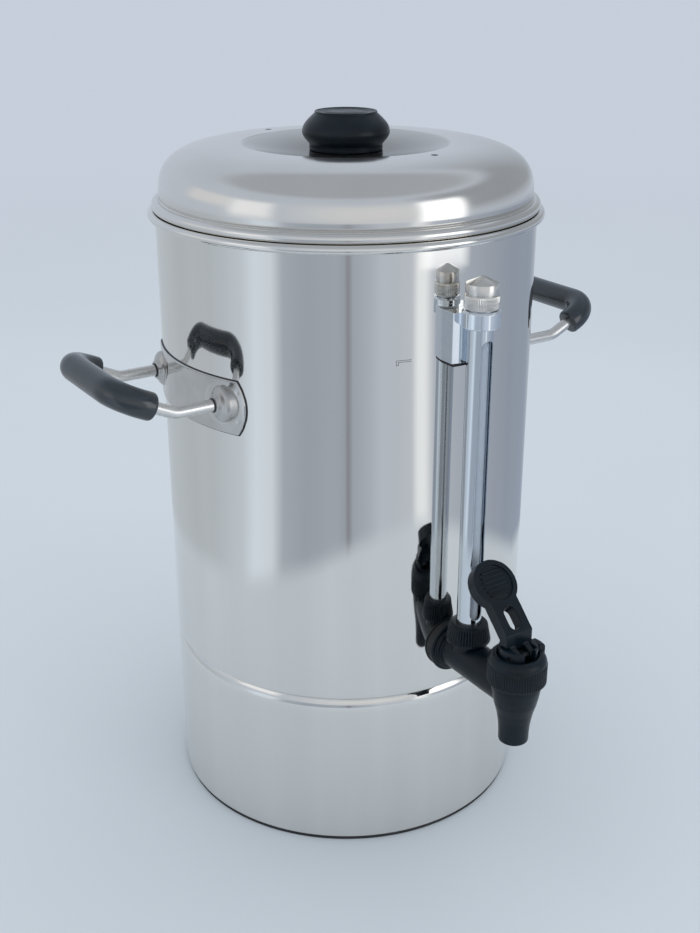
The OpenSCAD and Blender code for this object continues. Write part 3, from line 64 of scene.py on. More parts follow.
WALL_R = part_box("base_ring")[1].x / MM
RIM_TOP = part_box("tank_shell")[1].z / MM
NECK_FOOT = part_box("tank_shell")[0].z / MM
LID_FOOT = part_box("lid_shell")[0].z / MM
LID_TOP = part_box("lid_shell")[1].z / MM
SHIELD_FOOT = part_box("gauge_shield")[0].z / MM
SHIELD_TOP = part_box("gauge_shield")[1].z / MM
CAP_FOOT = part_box("gauge_cap")[0].z / MM
NUT_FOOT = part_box("gauge_nut")[0].z / MM
BONNET_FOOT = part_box("tap_bonnet")[0].z / MM
GAUGE_Y = (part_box("gauge_shield")[0].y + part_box("gauge_shield")[1].y) / 2 / MM
VALVE_Y = (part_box("tap_spout")[0].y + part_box("tap_spout")[1].y) / 2 / MM


def length(label, words, default, low=0.0):
    """A size that the sidebar shows in the scene's unit of length."""
    return FloatProperty(
        name=label, description=words, default=default * MM, min=low * MM,
        unit="LENGTH", subtype="DISTANCE", precision=5,
    )


def tint(label, words, default):
    """A colour that the sidebar shows as a swatch."""
    return FloatVectorProperty(
        name=label, description=words, default=default, size=3, min=0.0, max=1.0, subtype="COLOR"
    )


def angle(label, words, default):
    """A turn that the sidebar shows in degrees."""
    return FloatProperty(
        name=label, description=words, default=math.radians(default), unit="ROTATION", subtype="ANGLE"
    )


def number(label, words, default, low, high):
    """A count that the sidebar shows."""
    return IntProperty(name=label, description=words, default=default, min=low, max=high)


class TankSettings(bpy.types.PropertyGroup):
    """Sizes of the tank, its base ring and the level mark."""

    wall: length("Wall radius", "Outside of the tank wall and the base ring", WALL_R)
    sheet: length("Sheet", "Thickness of the sheet steel", 0.8)
    seam: length("Seam height", "Where the tank meets its base ring", 103.2)
    seam_step: length("Seam step", "How far the tank steps in below the seam", 4.2)
    shoulder: length("Shoulder height", "Height of the base ring's rounded shoulder", 9.6)
    rim_bead: length("Rim bead", "Radius of the rolled rim", 2.5)
    mark_height: length("Mark height", "Height of the level mark's upper line", 313.6)
    turns: number("Turns", "Facets round the tank", 288, 48, 720)


class LidSettings(bpy.types.PropertyGroup):
    """Sizes of the lid and its knob."""

    bead: length("Lid bead", "Radius of the lid's rolled bead", 3.2)
    ring: length("Top ring", "Radius of the top ring's crest", 71.5)
    bowl: length("Bowl radius", "Radius of the dished middle", 61.0)
    dish: length("Dish depth", "Depth of the dished middle", 4.4)
    vent: length("Vent radius", "Radius of the two vent holes", 2.0)
    vent_turn: angle("Vent turn", "Turn of the vent holes about the lid's axis", 9.5)
    knob: length("Knob radius", "Radius of the knob at its widest", 25.6)
    knob_top: length("Knob top", "Radius of the knob's flat top", 18.2)


class HandleSettings(bpy.types.PropertyGroup):
    """Sizes of the side handles."""

    height: length("Handle height", "Height of the rods where they leave the wall", 282.5)
    half: length("Half spacing", "Half the distance between a handle's two legs", 37.5)
    rod: length("Rod radius", "Radius of the bent rods", 3.5)
    grip: length("Grip radius", "Radius of the sleeves", 8.0)
    boss: length("Boss radius", "Radius of the pressed bosses", 10.6)
    boss_height: length("Boss height", "How far a boss stands out over the wall", 6.2)
    slope: angle("Slope", "How far the handle leans up", 25.0)


class GaugeSettings(bpy.types.PropertyGroup):
    """Sizes of the level gauge."""

    shield: length("Shield radius", "Outside of the slotted tube", 7.2)
    slot: length("Slot width", "Width of the sight slot", 8.4)
    glass: length("Glass radius", "Outside of the sight glass", 5.0)
    cap_knurls: number("Knurls", "Teeth round the cap", 48, 12, 96)
    nut_ribs: number("Nut ribs", "Ribs round the lower nut", 44, 12, 96)


class TapSettings(bpy.types.PropertyGroup):
    """Sizes of the tap."""

    bonnet: length("Bonnet radius", "Outside of the ribbed bonnet", 16.8)
    ribs: number("Bonnet ribs", "Ribs round the bonnet", 72, 24, 120)
    rib_depth: length("Rib depth", "Depth of the bonnet's ribs", 0.42)
    grain: length("Rounding step", "Grid on which moulded edges are rounded", 0.32, 0.2)


class FinishSettings(bpy.types.PropertyGroup):
    """Colours of the finishes."""

    steel: tint("Polished steel", "Tank, base and lid", (0.80, 0.785, 0.755))
    # Pressed steel is darker than the polished steel: partly grime, partly painted shade for the darker
    # things that the plates reflect.
    pressed: tint("Pressed steel", "Handle plates and their bosses", (0.64, 0.63, 0.61))
    chrome: tint("Chrome", "Shield and bracket", (0.72, 0.76, 0.80))
    nickel: tint("Nickel", "Gauge cap", (0.70, 0.685, 0.655))
    # The blue in the moulding's black is painted reflection of the pale blue surround.
    moulding: tint("Moulding", "Tap, knob and nut", (0.0016, 0.0060, 0.0105))
    grip: tint("Grip", "Handle sleeves", (0.004, 0.0105, 0.017))
    rubber: tint("Rubber", "Feet, pads and seals", (0.013, 0.014, 0.016))
    mark: tint("Level mark", "Printed level mark", (0.10, 0.105, 0.11))


class StageSettings(bpy.types.PropertyGroup):
    """Light, floor and camera."""

    floor: tint("Floor", "Floor colour", (0.555, 0.615, 0.675))
    backdrop: tint("Backdrop", "Colour behind the urn", (0.565, 0.62, 0.705))
    room: tint("Room", "Colour that the lid shows from higher up", (0.415, 0.45, 0.495))
    panel: tint("Side panel", "Bright panel that the lid shows on the left", (0.95, 0.97, 1.0))
    front: tint("Front panel", "Pale panel that the lid shows in front", (0.72, 0.74, 0.76))
    dark: tint("Dark panel", "Dark panel that the lid shows on the right", (0.34, 0.37, 0.41))
    world: FloatProperty(name="World light", description="Strength of the even light", default=0.95, min=0.0)
    key: FloatProperty(name="Key light", description="Power of the front lamp", default=2.1, unit="POWER")
    top: FloatProperty(name="Top light", description="Power of the lamp above", default=6.5, unit="POWER")
    lens: FloatProperty(name="Lens", description="Camera lens", default=48.09, unit="CAMERA")


def link_object(name, mesh):
    """Puts a mesh into the scene under a name."""
    obj = bpy.data.objects.new(name, mesh)
    bpy.context.scene.collection.objects.link(obj)
    return obj


def mesh_object(name, verts, faces, sharp=38.0):
    """Makes a welded, outward-facing, smooth-shaded object from points in millimetres."""
    mesh = bpy.data.meshes.new(name)
    mesh.from_pydata([(x * MM, y * MM, z * MM) for x, y, z in verts], [], faces)
    shape = bmesh.new()
    shape.from_mesh(mesh)
    bmesh.ops.remove_doubles(shape, verts=shape.verts, dist=1e-7)
    bmesh.ops.recalc_face_normals(shape, faces=shape.faces)
    shape.to_mesh(mesh)
    shape.free()
    obj = link_object(name, mesh)
    shade(obj, sharp)
    return obj


def shade(obj, sharp):
    """Shades an object smooth and keeps edges over an angle crisp."""
    for face in obj.data.polygons:
        face.use_smooth = True
    obj.data.set_sharp_from_angle(angle=math.radians(sharp))


def settle(obj):
    """Bakes an object's modifiers into its mesh."""
    graph = bpy.context.evaluated_depsgraph_get()
    graph.update()
    mesh = bpy.data.meshes.new_from_object(obj.evaluated_get(graph))
    obj.modifiers.clear()
    old = obj.data
    obj.data = mesh
    bpy.data.meshes.remove(old)


def cut(obj, *cutters):
    """Cuts shapes out of an object and throws the cutters away."""
    for cutter in cutters:
        knife = obj.modifiers.new("cut", "BOOLEAN")
        knife.operation = "DIFFERENCE"
        knife.solver = "EXACT"
        knife.object = cutter
    settle(obj)
    for cutter in cutters:
        bpy.data.meshes.remove(cutter.data)


def arc(centre, radius, start, end, steps):
    """Points on an arc, in degrees; radius is one number or one for each direction."""
    across, up = radius if isinstance(radius, tuple) else (radius, radius)
    points = []
    for k in range(steps + 1):
        a = math.radians(start + (end - start) * k / steps)
        points.append((centre[0] + across * math.cos(a), centre[1] + up * math.sin(a)))
    return points


def smooth_line(points, steps):
    """A rounded line through points."""
    line = []
    last = len(points) - 1
    for k in range(last):
        p0, p1 = Vector(points[max(k - 1, 0)]), Vector(points[k])
        p2, p3 = Vector(points[k + 1]), Vector(points[min(k + 2, last)])
        for j in range(steps):
            t = j / steps
            line.append(tuple(0.5 * (
                2 * p1 + (p2 - p0) * t + (2 * p0 - 5 * p1 + 4 * p2 - p3) * t * t
                + (3 * p1 - p0 - 3 * p2 + p3) * t * t * t
            )))
    line.append(tuple(points[last]))
    return line


def inner_side(line, thickness):
    """The line moved to its left by a thickness: the other side of a sheet."""
    moved = []
    for k, point in enumerate(line):
        here = Vector(point)
        before = (here - Vector(line[k - 1])).normalized() if k else None
        after = (Vector(line[k + 1]) - here).normalized() if k + 1 < len(line) else None
        along = (before or after) + (after or before)
        along.normalize()
        stretch = along.dot(before or after)
        side = Vector((-along.y, along.x)) * thickness / max(stretch, 0.5)
        moved.append(tuple(here + side))
    return moved


def sheet_loop(line, thickness):
    """A closed loop round a sheet of one thickness."""
    return line + inner_side(line, thickness)[::-1]


def lathe(name, line, turns=192, at=(0.0, 0.0), closed=True, wave=None, sharp=38.0):
    """Turns a line about an upright axis; wave changes the radius by angle and by point."""
    verts, faces = [], []
    count = len(line)
    for i in range(turns):
        a = 2 * math.pi * i / turns
        ca, sa = math.cos(a), math.sin(a)
        for k, (r, z) in enumerate(line):
            q = r + wave(a, k) if wave else r
            verts.append((at[0] + q * ca, at[1] + q * sa, z))
    for i in range(turns):
        j = (i + 1) % turns
        for k in range(count if closed else count - 1):
            m = (k + 1) % count
            faces.append((i * count + k, j * count + k, j * count + m, i * count + m))
    return mesh_object(name, verts, faces, sharp)


def sweep(name, path, radii, sides=40):
    """A round bar along a path, with a radius for each point and flat ends."""
    points = [Vector(p) for p in path]
    along = []
    for k in range(len(points)):
        ahead = points[min(k + 1, len(points) - 1)] - points[max(k - 1, 0)]
        along.append(ahead.normalized())
    side = along[0].orthogonal().normalized()
    verts, faces = [], []
    for k, point in enumerate(points):
        side = (side - along[k] * side.dot(along[k])).normalized()
        across = along[k].cross(side)
        for i in range(sides):
            a = 2 * math.pi * i / sides
            verts.append(tuple(point + (side * math.cos(a) + across * math.sin(a)) * radii[k]))
    for k in range(len(points) - 1):
        for i in range(sides):
            j = (i + 1) % sides
            faces.append((k * sides + i, k * sides + j, (k + 1) * sides + j, (k + 1) * sides + i))
    faces.append(tuple(range(sides)))
    faces.append(tuple((len(points) - 1) * sides + i for i in range(sides)))
    return mesh_object(name, verts, faces)


def block(name, low, high, spin=0.0):
    """A box between two corners, turned about the upright axis: used as a cutter."""
    corners = [(x, y, z) for x in (low[0], high[0]) for y in (low[1], high[1]) for z in (low[2], high[2])]
    turn = Matrix.Rotation(spin, 3, "Z")
    verts = [tuple(turn @ Vector(c)) for c in corners]
    faces = [(0, 1, 3, 2), (4, 5, 7, 6), (0, 1, 5, 4), (2, 3, 7, 6), (0, 2, 6, 4), (1, 3, 7, 5)]
    return mesh_object(name, verts, faces)


def prism(name, ring, front, back):
    """An outline in X and Z drawn out along Y: used as a cutter."""
    count = len(ring)
    verts = [(x, y, z) for y in (front, back) for x, z in ring]
    faces = [(k, (k + 1) % count, count + (k + 1) % count, count + k) for k in range(count)]
    faces += [tuple(range(count)), tuple(range(count, 2 * count))]
    return mesh_object(name, verts, faces)


def stadium(name, half, low, high, front, back):
    """A long slot with round ends, through front to back along Y: used as a cutter."""
    ring = arc((0.0, high - half), half, 0, 180, 24) + arc((0.0, low + half), half, 180, 360, 24)
    return prism(name, ring, front, back)


def drum(name, radius, low, high, turns, at=(0.0, 0.0)):
    """A plain cylinder: used as a cutter."""
    line = [(0.0, low), (radius, low), (radius, high), (0.0, high)]
    return lathe(name, line, turns, at, False)


def moulded(name, nodes, grain, rounds):
    """A copy of CAD nodes as one moulding with softly rounded edges."""
    shape = bmesh.new()
    for node in nodes:
        shape.from_mesh(NODES[node].data)
    bmesh.ops.remove_doubles(shape, verts=shape.verts, dist=1e-6)
    mesh = bpy.data.meshes.new(name)
    shape.to_mesh(mesh)
    shape.free()
    obj = link_object(name, mesh)
    weld = obj.modifiers.new("round", "REMESH")
    weld.mode = "VOXEL"
    weld.voxel_size = grain
    ease = obj.modifiers.new("ease", "SMOOTH")
    ease.factor = 0.5
    ease.iterations = rounds
    settle(obj)
    shade(obj, 60.0)
    return obj


def fit(obj, body, slot, finish, *nodes):
    """Gives a piece its finish, its body and the nodes that it stands for."""
    obj.data.materials.clear()
    obj.data.materials.append(finish)
    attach(obj, body)
    if nodes:
        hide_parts(*nodes)


def dress(finish, *nodes):
    """Gives CAD nodes a finish."""
    for node in nodes:
        slots = NODES[node].data.materials
        slots.clear()
        slots.append(finish)


class Finish:
    """A material under construction: one shader and the patterns that feed it."""

    def __init__(self, name, color, roughness, metallic=0.0, **sockets):
        self.material = bpy.data.materials.new(name)
        self.material.use_nodes = True
        self.tree = self.material.node_tree
        self.shader = self.tree.nodes["Principled BSDF"]
        self.color = color
        self.set("Base Color", (*color, 1.0))
        self.set("Roughness", roughness)
        self.set("Metallic", metallic)
        for socket, value in sockets.items():
            self.set(socket.replace("_", " "), value)
        self.normal = None
        self.material.diffuse_color = (*color, 1.0)

    def set(self, socket, value):
        self.shader.inputs[socket].default_value = value

    def node(self, kind, **values):
        made = self.tree.nodes.new(kind)
        for key, value in values.items():
            setattr(made, key, value)
        return made

    def link(self, source, target):
        self.tree.links.new(source, target)

    def place(self, stretch=(1.0, 1.0, 1.0)):
        """Object coordinates, stretched."""
        coords = self.node("ShaderNodeTexCoord")
        mapping = self.node("ShaderNodeMapping")
        mapping.inputs["Scale"].default_value = stretch
        self.link(coords.outputs["Object"], mapping.inputs["Vector"])
        return mapping.outputs["Vector"]

    def rings(self):
        """Distance from the urn's axis, for turned and spun marks."""
        coords = self.node("ShaderNodeTexCoord")
        flat = self.node("ShaderNodeVectorMath", operation="MULTIPLY")
        flat.inputs[1].default_value = (1.0, 1.0, 0.0)
        size = self.node("ShaderNodeVectorMath", operation="LENGTH")
        self.link(coords.outputs["Object"], flat.inputs[0])
        self.link(flat.outputs["Vector"], size.inputs[0])
        return size.outputs["Value"]

    def noise(self, scale, stretch=(1.0, 1.0, 1.0), detail=3.0, soft=0.5):
        """A cloudy pattern."""
        cloud = self.node("ShaderNodeTexNoise")
        cloud.inputs["Scale"].default_value = scale
        cloud.inputs["Detail"].default_value = detail
        cloud.inputs["Roughness"].default_value = soft
        self.link(self.place(stretch), cloud.inputs["Vector"])
        return cloud.outputs["Fac"]

    def ring_noise(self, scale, detail=2.0):
        """A pattern of fine rings about the axis."""
        cloud = self.node("ShaderNodeTexNoise", noise_dimensions="1D")
        cloud.inputs["Scale"].default_value = scale
        cloud.inputs["Detail"].default_value = detail
        self.link(self.rings(), cloud.inputs["W"])
        return cloud.outputs["Fac"]

    def cells(self, scale):
        """A pattern of small grains."""
        grains = self.node("ShaderNodeTexVoronoi")
        grains.inputs["Scale"].default_value = scale
        self.link(self.place(), grains.inputs["Vector"])
        return grains.outputs["Distance"]

    def spread(self, source, low, high, start=0.3, end=0.7):
        """A pattern mapped to a range of values."""
        span = self.node("ShaderNodeMapRange")
        for socket, value in zip(("From Min", "From Max", "To Min", "To Max"), (start, end, low, high)):
            span.inputs[socket].default_value = value
        self.link(source, span.inputs["Value"])
        return span.outputs["Result"]

    def rough(self, source, low, high):
        """Roughness that follows a pattern."""
        self.link(self.spread(source, low, high), self.shader.inputs["Roughness"])

    def mottle(self, source, darker, lighter, start=0.3, end=0.7):
        """Colour that follows a pattern, between two shades of the finish."""
        mix = self.node("ShaderNodeMix", data_type="RGBA")
        mix.inputs["A"].default_value = (*[c * darker for c in self.color], 1.0)
        mix.inputs["B"].default_value = (*[min(c * lighter, 1.0) for c in self.color], 1.0)
        self.link(self.spread(source, 0.0, 1.0, start, end), mix.inputs["Factor"])
        self.link(mix.outputs["Result"], self.shader.inputs["Base Color"])

    def paint_shade(self, source, low, high, start, end):
        """Painted shade: colour made darker along a pattern, also where the surface is seen at a slant."""
        shadow = self.spread(source, low, high, start, end)
        for name in ("Base Color", "Specular Tint"):
            socket = self.shader.inputs[name]
            mix = self.node("ShaderNodeMix", data_type="RGBA", blend_type="MULTIPLY")
            mix.inputs["Factor"].default_value = 1.0
            if socket.is_linked:
                self.link(socket.links[0].from_socket, mix.inputs["A"])
            else:
                mix.inputs["A"].default_value = socket.default_value
            self.link(shadow, mix.inputs["B"])
            self.link(mix.outputs["Result"], socket)

    def lining(self, start, end, roughness, metallic):
        """A duller surface inside a radius."""
        outside = self.spread(self.rings(), 0.0, 1.0, start, end)
        for name, value in (("Roughness", roughness), ("Metallic", metallic)):
            socket = self.shader.inputs[name]
            mix = self.node("ShaderNodeMix", data_type="FLOAT")
            mix.inputs["A"].default_value = value
            mix.inputs["B"].default_value = socket.default_value
            if socket.is_linked:
                self.link(socket.links[0].from_socket, mix.inputs["B"])
            self.link(outside, mix.inputs["Factor"])
            self.link(mix.outputs["Result"], socket)

    def stripe(self, source, other, start=0.48, end=0.52):
        """Colour that changes to another one where a pattern is high."""
        mix = self.node("ShaderNodeMix", data_type="RGBA")
        mix.inputs["A"].default_value = (*self.color, 1.0)
        mix.inputs["B"].default_value = (*other, 1.0)
        self.link(self.spread(source, 0.0, 1.0, start, end), mix.inputs["Factor"])
        self.link(mix.outputs["Result"], self.shader.inputs["Base Color"])

    def rounded(self, radius):
        """Edges shaded as if rounded by a small radius."""
        edge = self.node("ShaderNodeBevel", samples=6)
        edge.inputs["Radius"].default_value = radius * MM
        self.normal = edge.outputs["Normal"]
        self.link(self.normal, self.shader.inputs["Normal"])

    def relief(self, source, strength, depth):
        """Fine relief that follows a pattern."""
        bump = self.node("ShaderNodeBump")
        bump.inputs["Strength"].default_value = strength
        bump.inputs["Distance"].default_value = depth * MM
        self.link(source, bump.inputs["Height"])
        if self.normal:
            self.link(self.normal, bump.inputs["Normal"])
        self.normal = bump.outputs["Normal"]
        self.link(self.normal, self.shader.inputs["Normal"])


EVEN = (1.0, 1.0, 1.0)


def coat(name, color, roughness, metallic=0.0, edge=0.0, rough=None, mottle=None, relief=None, **sockets):
    """A finish with cloudy patterns; each is a scale, a stretch, a detail and two values."""
    finish = Finish(name, color, roughness, metallic, **sockets)
    if edge:
        finish.rounded(edge)
    for apply, pattern in ((finish.rough, rough), (finish.mottle, mottle), (finish.relief, relief)):
        if pattern:
            scale, stretch, detail, first, second = pattern
            apply(finish.noise(scale, stretch, detail), first, second)
    return finish


def steel_finishes(hues):
    """The finishes of the bright metal pieces."""
    made = {}
    for name, label in (("wall", "polished steel, rolled"), ("tank", "polished steel, drawn")):
        wall = coat(
            label, hues.steel, 0.08, 1.0, rough=(9.0, (7.0, 7.0, 0.5), 4.0, 0.03, 0.07),
            mottle=(40.0, (1.0, 1.0, 0.05), 4.0, 0.955, 1.02), relief=(5.0, (2.6, 2.6, 0.35), 2.0, 0.10, 1.2),
        )
        wall.relief(wall.noise(420.0, (1.0, 1.0, 0.02), 3.0), 0.05, 0.05)
        made[name] = wall
    lining_from, lining_to = WALL_R * MM - 0.0006, WALL_R * MM - 0.0003
    made["tank"].lining(lining_from, lining_to, 0.34, 0.55)
    spun = coat(
        "polished steel, spun", hues.steel, 0.09, 1.0, rough=(14.0, EVEN, 4.0, 0.12, 0.17),
        mottle=(30.0, (1.0, 1.0, 0.4), 4.0, 0.97, 1.015),
    )
    # Painted shade on the lid's bowl: darker just inside the rim and darker towards the knob, for the knob's
    # blurred dark reflection.
    rim_shade_span, knob_shade_span = (0.0595, 0.0615), (0.026, 0.062)
    spun.paint_shade(spun.rings(), 0.90, 1.0, *rim_shade_span)
    spun.paint_shade(spun.rings(), 0.66, 0.97, *knob_shade_span)
    spun.relief(spun.ring_noise(1500.0, 3.0), 0.025, 0.03)
    spun.relief(spun.noise(16.0, EVEN, 2.0), 0.04, 0.5)
    made["spun"] = spun
    made["plate"] = coat(
        "polished steel, pressed", hues.pressed, 0.1, 1.0, rough=(120.0, EVEN, 4.0, 0.045, 0.10),
        mottle=(48.0, EVEN, 4.0, 0.84, 1.04), relief=(90.0, EVEN, 2.0, 0.06, 0.2),
    )
    made["satin"] = coat(
        "satin steel, pressed", tuple(c * 0.84 for c in hues.pressed), 0.3, 1.0,
        rough=(120.0, EVEN, 4.0, 0.25, 0.35), mottle=(48.0, EVEN, 4.0, 0.86, 1.0),
        relief=(90.0, EVEN, 2.0, 0.05, 0.15),
    )
    made["plain"] = coat(
        "plain steel", (0.58, 0.575, 0.565), 0.3, 1.0, edge=0.25, rough=(90.0, EVEN, 5.0, 0.22, 0.42),
        mottle=(55.0, EVEN, 5.0, 0.86, 1.06), relief=(900.0, (1.0, 0.08, 1.0), 3.0, 0.12, 0.05),
    )
    made["chrome"] = coat(
        "chrome", hues.chrome, 0.05, 1.0, edge=0.35, rough=(70.0, (1.0, 1.0, 0.3), 4.0, 0.03, 0.085),
        mottle=(120.0, (1.0, 1.0, 0.2), 4.0, 0.96, 1.02), relief=(60.0, (1.0, 1.0, 0.2), 2.0, 0.03, 0.1),
    )
    made["clamp"] = coat(
        "chrome, cast", tuple(min(c * 1.16, 1.0) for c in hues.chrome), 0.07, 1.0, edge=0.4,
        rough=(90.0, EVEN, 4.0, 0.05, 0.11), mottle=(140.0, EVEN, 4.0, 0.96, 1.02),
        relief=(70.0, EVEN, 2.0, 0.03, 0.1),
    )
    made["rod"] = coat(
        "drawn bright rod", (0.78, 0.77, 0.75), 0.16, 1.0, rough=(160.0, (0.2, 1.0, 1.0), 4.0, 0.22, 0.32),
        mottle=(90.0, (0.3, 1.0, 1.0), 4.0, 0.9, 1.02), relief=(1400.0, (0.06, 1.0, 1.0), 3.0, 0.02, 0.02),
    )
    made["nickel"] = coat(
        "nickel", hues.nickel, 0.28, 1.0, rough=(300.0, EVEN, 4.0, 0.15, 0.27),
        mottle=(150.0, EVEN, 4.0, 0.94, 1.03), relief=(1600.0, EVEN, 2.0, 0.04, 0.02),
    )
    made["brass"] = coat(
        "brass", (0.70, 0.52, 0.25), 0.28, 1.0, edge=0.15, rough=(120.0, EVEN, 5.0, 0.2, 0.42),
        mottle=(80.0, EVEN, 5.0, 0.8, 1.08), relief=(1200.0, EVEN, 3.0, 0.1, 0.03),
    )
    made["element"] = coat(
        "element sheath", (0.36, 0.34, 0.315), 0.4, 1.0, rough=(90.0, EVEN, 6.0, 0.3, 0.56),
        mottle=(50.0, EVEN, 6.0, 0.72, 1.3), relief=(700.0, EVEN, 4.0, 0.15, 0.06),
    )
    return made


def plastic_finishes(hues):
    """The finishes of mouldings, rubber, glass, wires and the printed mark."""
    made = {}
    made["moulding"] = coat(
        "black moulding", hues.moulding, 0.34, rough=(140.0, EVEN, 5.0, 0.26, 0.4),
        mottle=(70.0, EVEN, 5.0, 0.8, 1.4), relief=(1500.0, EVEN, 3.0, 0.1, 0.04), Specular_IOR_Level=0.27,
    )
    casing = coat(
        "black casing", (0.008, 0.009, 0.011), 0.42, edge=0.4, rough=(140.0, EVEN, 5.0, 0.34, 0.52),
        mottle=(80.0, EVEN, 5.0, 0.8, 1.4), Specular_IOR_Level=0.3,
    )
    casing.relief(casing.cells(1400.0), 0.16, 0.05)
    made["casing"] = casing
    made["grip"] = coat(
        "sleeve", hues.grip, 0.2, rough=(90.0, EVEN, 5.0, 0.15, 0.25), mottle=(45.0, EVEN, 5.0, 0.85, 1.3),
        relief=(700.0, EVEN, 3.0, 0.06, 0.05), Specular_IOR_Level=0.9,
    )
    made["rubber"] = coat(
        "black rubber", hues.rubber, 0.62, edge=0.3, rough=(110.0, EVEN, 5.0, 0.52, 0.74),
        mottle=(60.0, EVEN, 5.0, 0.75, 1.6), relief=(900.0, EVEN, 3.0, 0.2, 0.06),
    )
    # The sight glass's pale blue on a half-clear body is partly painted light: it stands for the pale
    # reflections that the tube shows in its slot.
    made["glass"] = coat(
        "sight glass", (0.70, 0.79, 0.90), 0.05, rough=(60.0, (1.0, 1.0, 0.2), 4.0, 0.03, 0.10),
        relief=(80.0, (1.0, 1.0, 0.1), 2.0, 0.04, 0.1), Transmission_Weight=0.55, IOR=1.47,
    )
    made["nylon"] = coat(
        "white nylon", (0.78, 0.77, 0.72), 0.42, rough=(150.0, EVEN, 4.0, 0.36, 0.5),
        mottle=(90.0, EVEN, 4.0, 0.93, 1.03), relief=(1100.0, EVEN, 3.0, 0.1, 0.04),
        Subsurface_Weight=0.15, Subsurface_Scale=0.002,
    )
    made["seat"] = coat(
        "clear silicone", (0.83, 0.85, 0.84), 0.36, rough=(150.0, EVEN, 4.0, 0.28, 0.46),
        relief=(700.0, EVEN, 3.0, 0.08, 0.04), Transmission_Weight=0.5, IOR=1.41,
    )
    made["gasket"] = coat(
        "red silicone", (0.46, 0.055, 0.04), 0.5, rough=(150.0, EVEN, 4.0, 0.42, 0.6),
        mottle=(90.0, EVEN, 4.0, 0.85, 1.15), relief=(900.0, EVEN, 3.0, 0.12, 0.05),
    )
    for name, color in (("brown phenolic", (0.10, 0.040, 0.022)), ("black phenolic", (0.02, 0.019, 0.018))):
        body = coat(name, color, 0.45, edge=0.3, rough=(130.0, EVEN, 5.0, 0.36, 0.56))
        body.mottle(body.cells(900.0), 0.7, 1.35, 0.1, 0.6)
        body.relief(body.noise(900.0, EVEN, 3.0), 0.12, 0.05)
        made[name] = body
    made["red"] = coat(
        "red plastic", (0.52, 0.018, 0.016), 0.3, edge=0.35, rough=(140.0, EVEN, 4.0, 0.24, 0.4),
        mottle=(80.0, EVEN, 4.0, 0.88, 1.1), relief=(1200.0, EVEN, 3.0, 0.08, 0.04),
    )
    lens = coat(
        "lamp lens", (0.72, 0.07, 0.04), 0.14, edge=0.3, rough=(100.0, EVEN, 4.0, 0.08, 0.2),
        Transmission_Weight=0.35, IOR=1.49,
    )
    lens.relief(lens.cells(900.0), 0.2, 0.15)
    made["lens"] = lens
    sleeve = (120.0, EVEN, 4.0, 0.32, 0.5)
    for name, color in (("brown wire", (0.12, 0.045, 0.02)), ("blue wire", (0.03, 0.10, 0.36))):
        made[name] = coat(name, color, 0.4, rough=sleeve, mottle=(90.0, EVEN, 4.0, 0.85, 1.15))
    earth = coat("green and yellow wire", (0.03, 0.23, 0.05), 0.4, rough=sleeve)
    earth.stripe(earth.noise(260.0, (1.0, 0.1, 1.0), 0.0), (0.70, 0.55, 0.03))
    made["earth wire"] = earth
    # Black for the rod rings, and for the strip of painted shade round each handle plate.
    made["seal"] = coat(
        "seal and edge shade", (0.010, 0.011, 0.013), 0.45, rough=(200.0, EVEN, 4.0, 0.36, 0.58),
        mottle=(90.0, EVEN, 4.0, 0.8, 1.6), relief=(700.0, EVEN, 3.0, 0.1, 0.05),
    )
    made["mark"] = coat(
        "printed mark", hues.mark, 0.5, rough=(400.0, EVEN, 3.0, 0.4, 0.6),
        mottle=(900.0, EVEN, 3.0, 0.7, 1.5),
    )
    return made


def finishes():
    """Makes every finish once and returns them by name."""
    hues = bpy.context.scene.urn_finish
    made = {**steel_finishes(hues), **plastic_finishes(hues)}
    return {name: finish.material for name, finish in made.items()}


FINISH = {}
DRESSED = {
    "plain": ("tank_floor", "base_plate", "base_screws", "knob_screw", "knob_washer", "bracket_screw"),
    "clamp": ("gauge_bracket",),
    "element": ("heating_element",),
    "brass": ("element_nuts", "earth_stud", "inlet_pins"),
    "casing": ("power_inlet", "switch_frame", "lever_pin", "tap_stem"),
    # bracket_pad is a rubber pad under the gauge bracket; where its black shows below the bracket it is
    # partly painted shade for the shade and dark reflection there.
    "rubber": ("foot_ring", "bracket_pad", "screw_seal", "gauge_seal", "tap_seal_outer", "tap_seal_inner"),
    "gasket": ("element_seals",),
    "seat": ("seat_cup",),
    "nylon": ("tap_lock_nut",),
    "brown phenolic": ("thermostat",),
    "black phenolic": ("thermal_cutout",),
    "red": ("switch_rocker", "reset_button"),
    "lens": ("indicator_lamp",),
    "brown wire": ("live_wires",),
    "blue wire": ("neutral_wires",),
    "earth wire": ("earth_wire",),
}


class URN_OT_finishes(bpy.types.Operator):
    """Make the finishes and give the CAD nodes that stay theirs"""

    bl_idname = "urn.finishes"
    bl_label = "Finishes"

    def execute(self, context):
        FINISH.update(finishes())
        for name, nodes in DRESSED.items():
            dress(FINISH[name], *nodes)
        return {"FINISHED"}


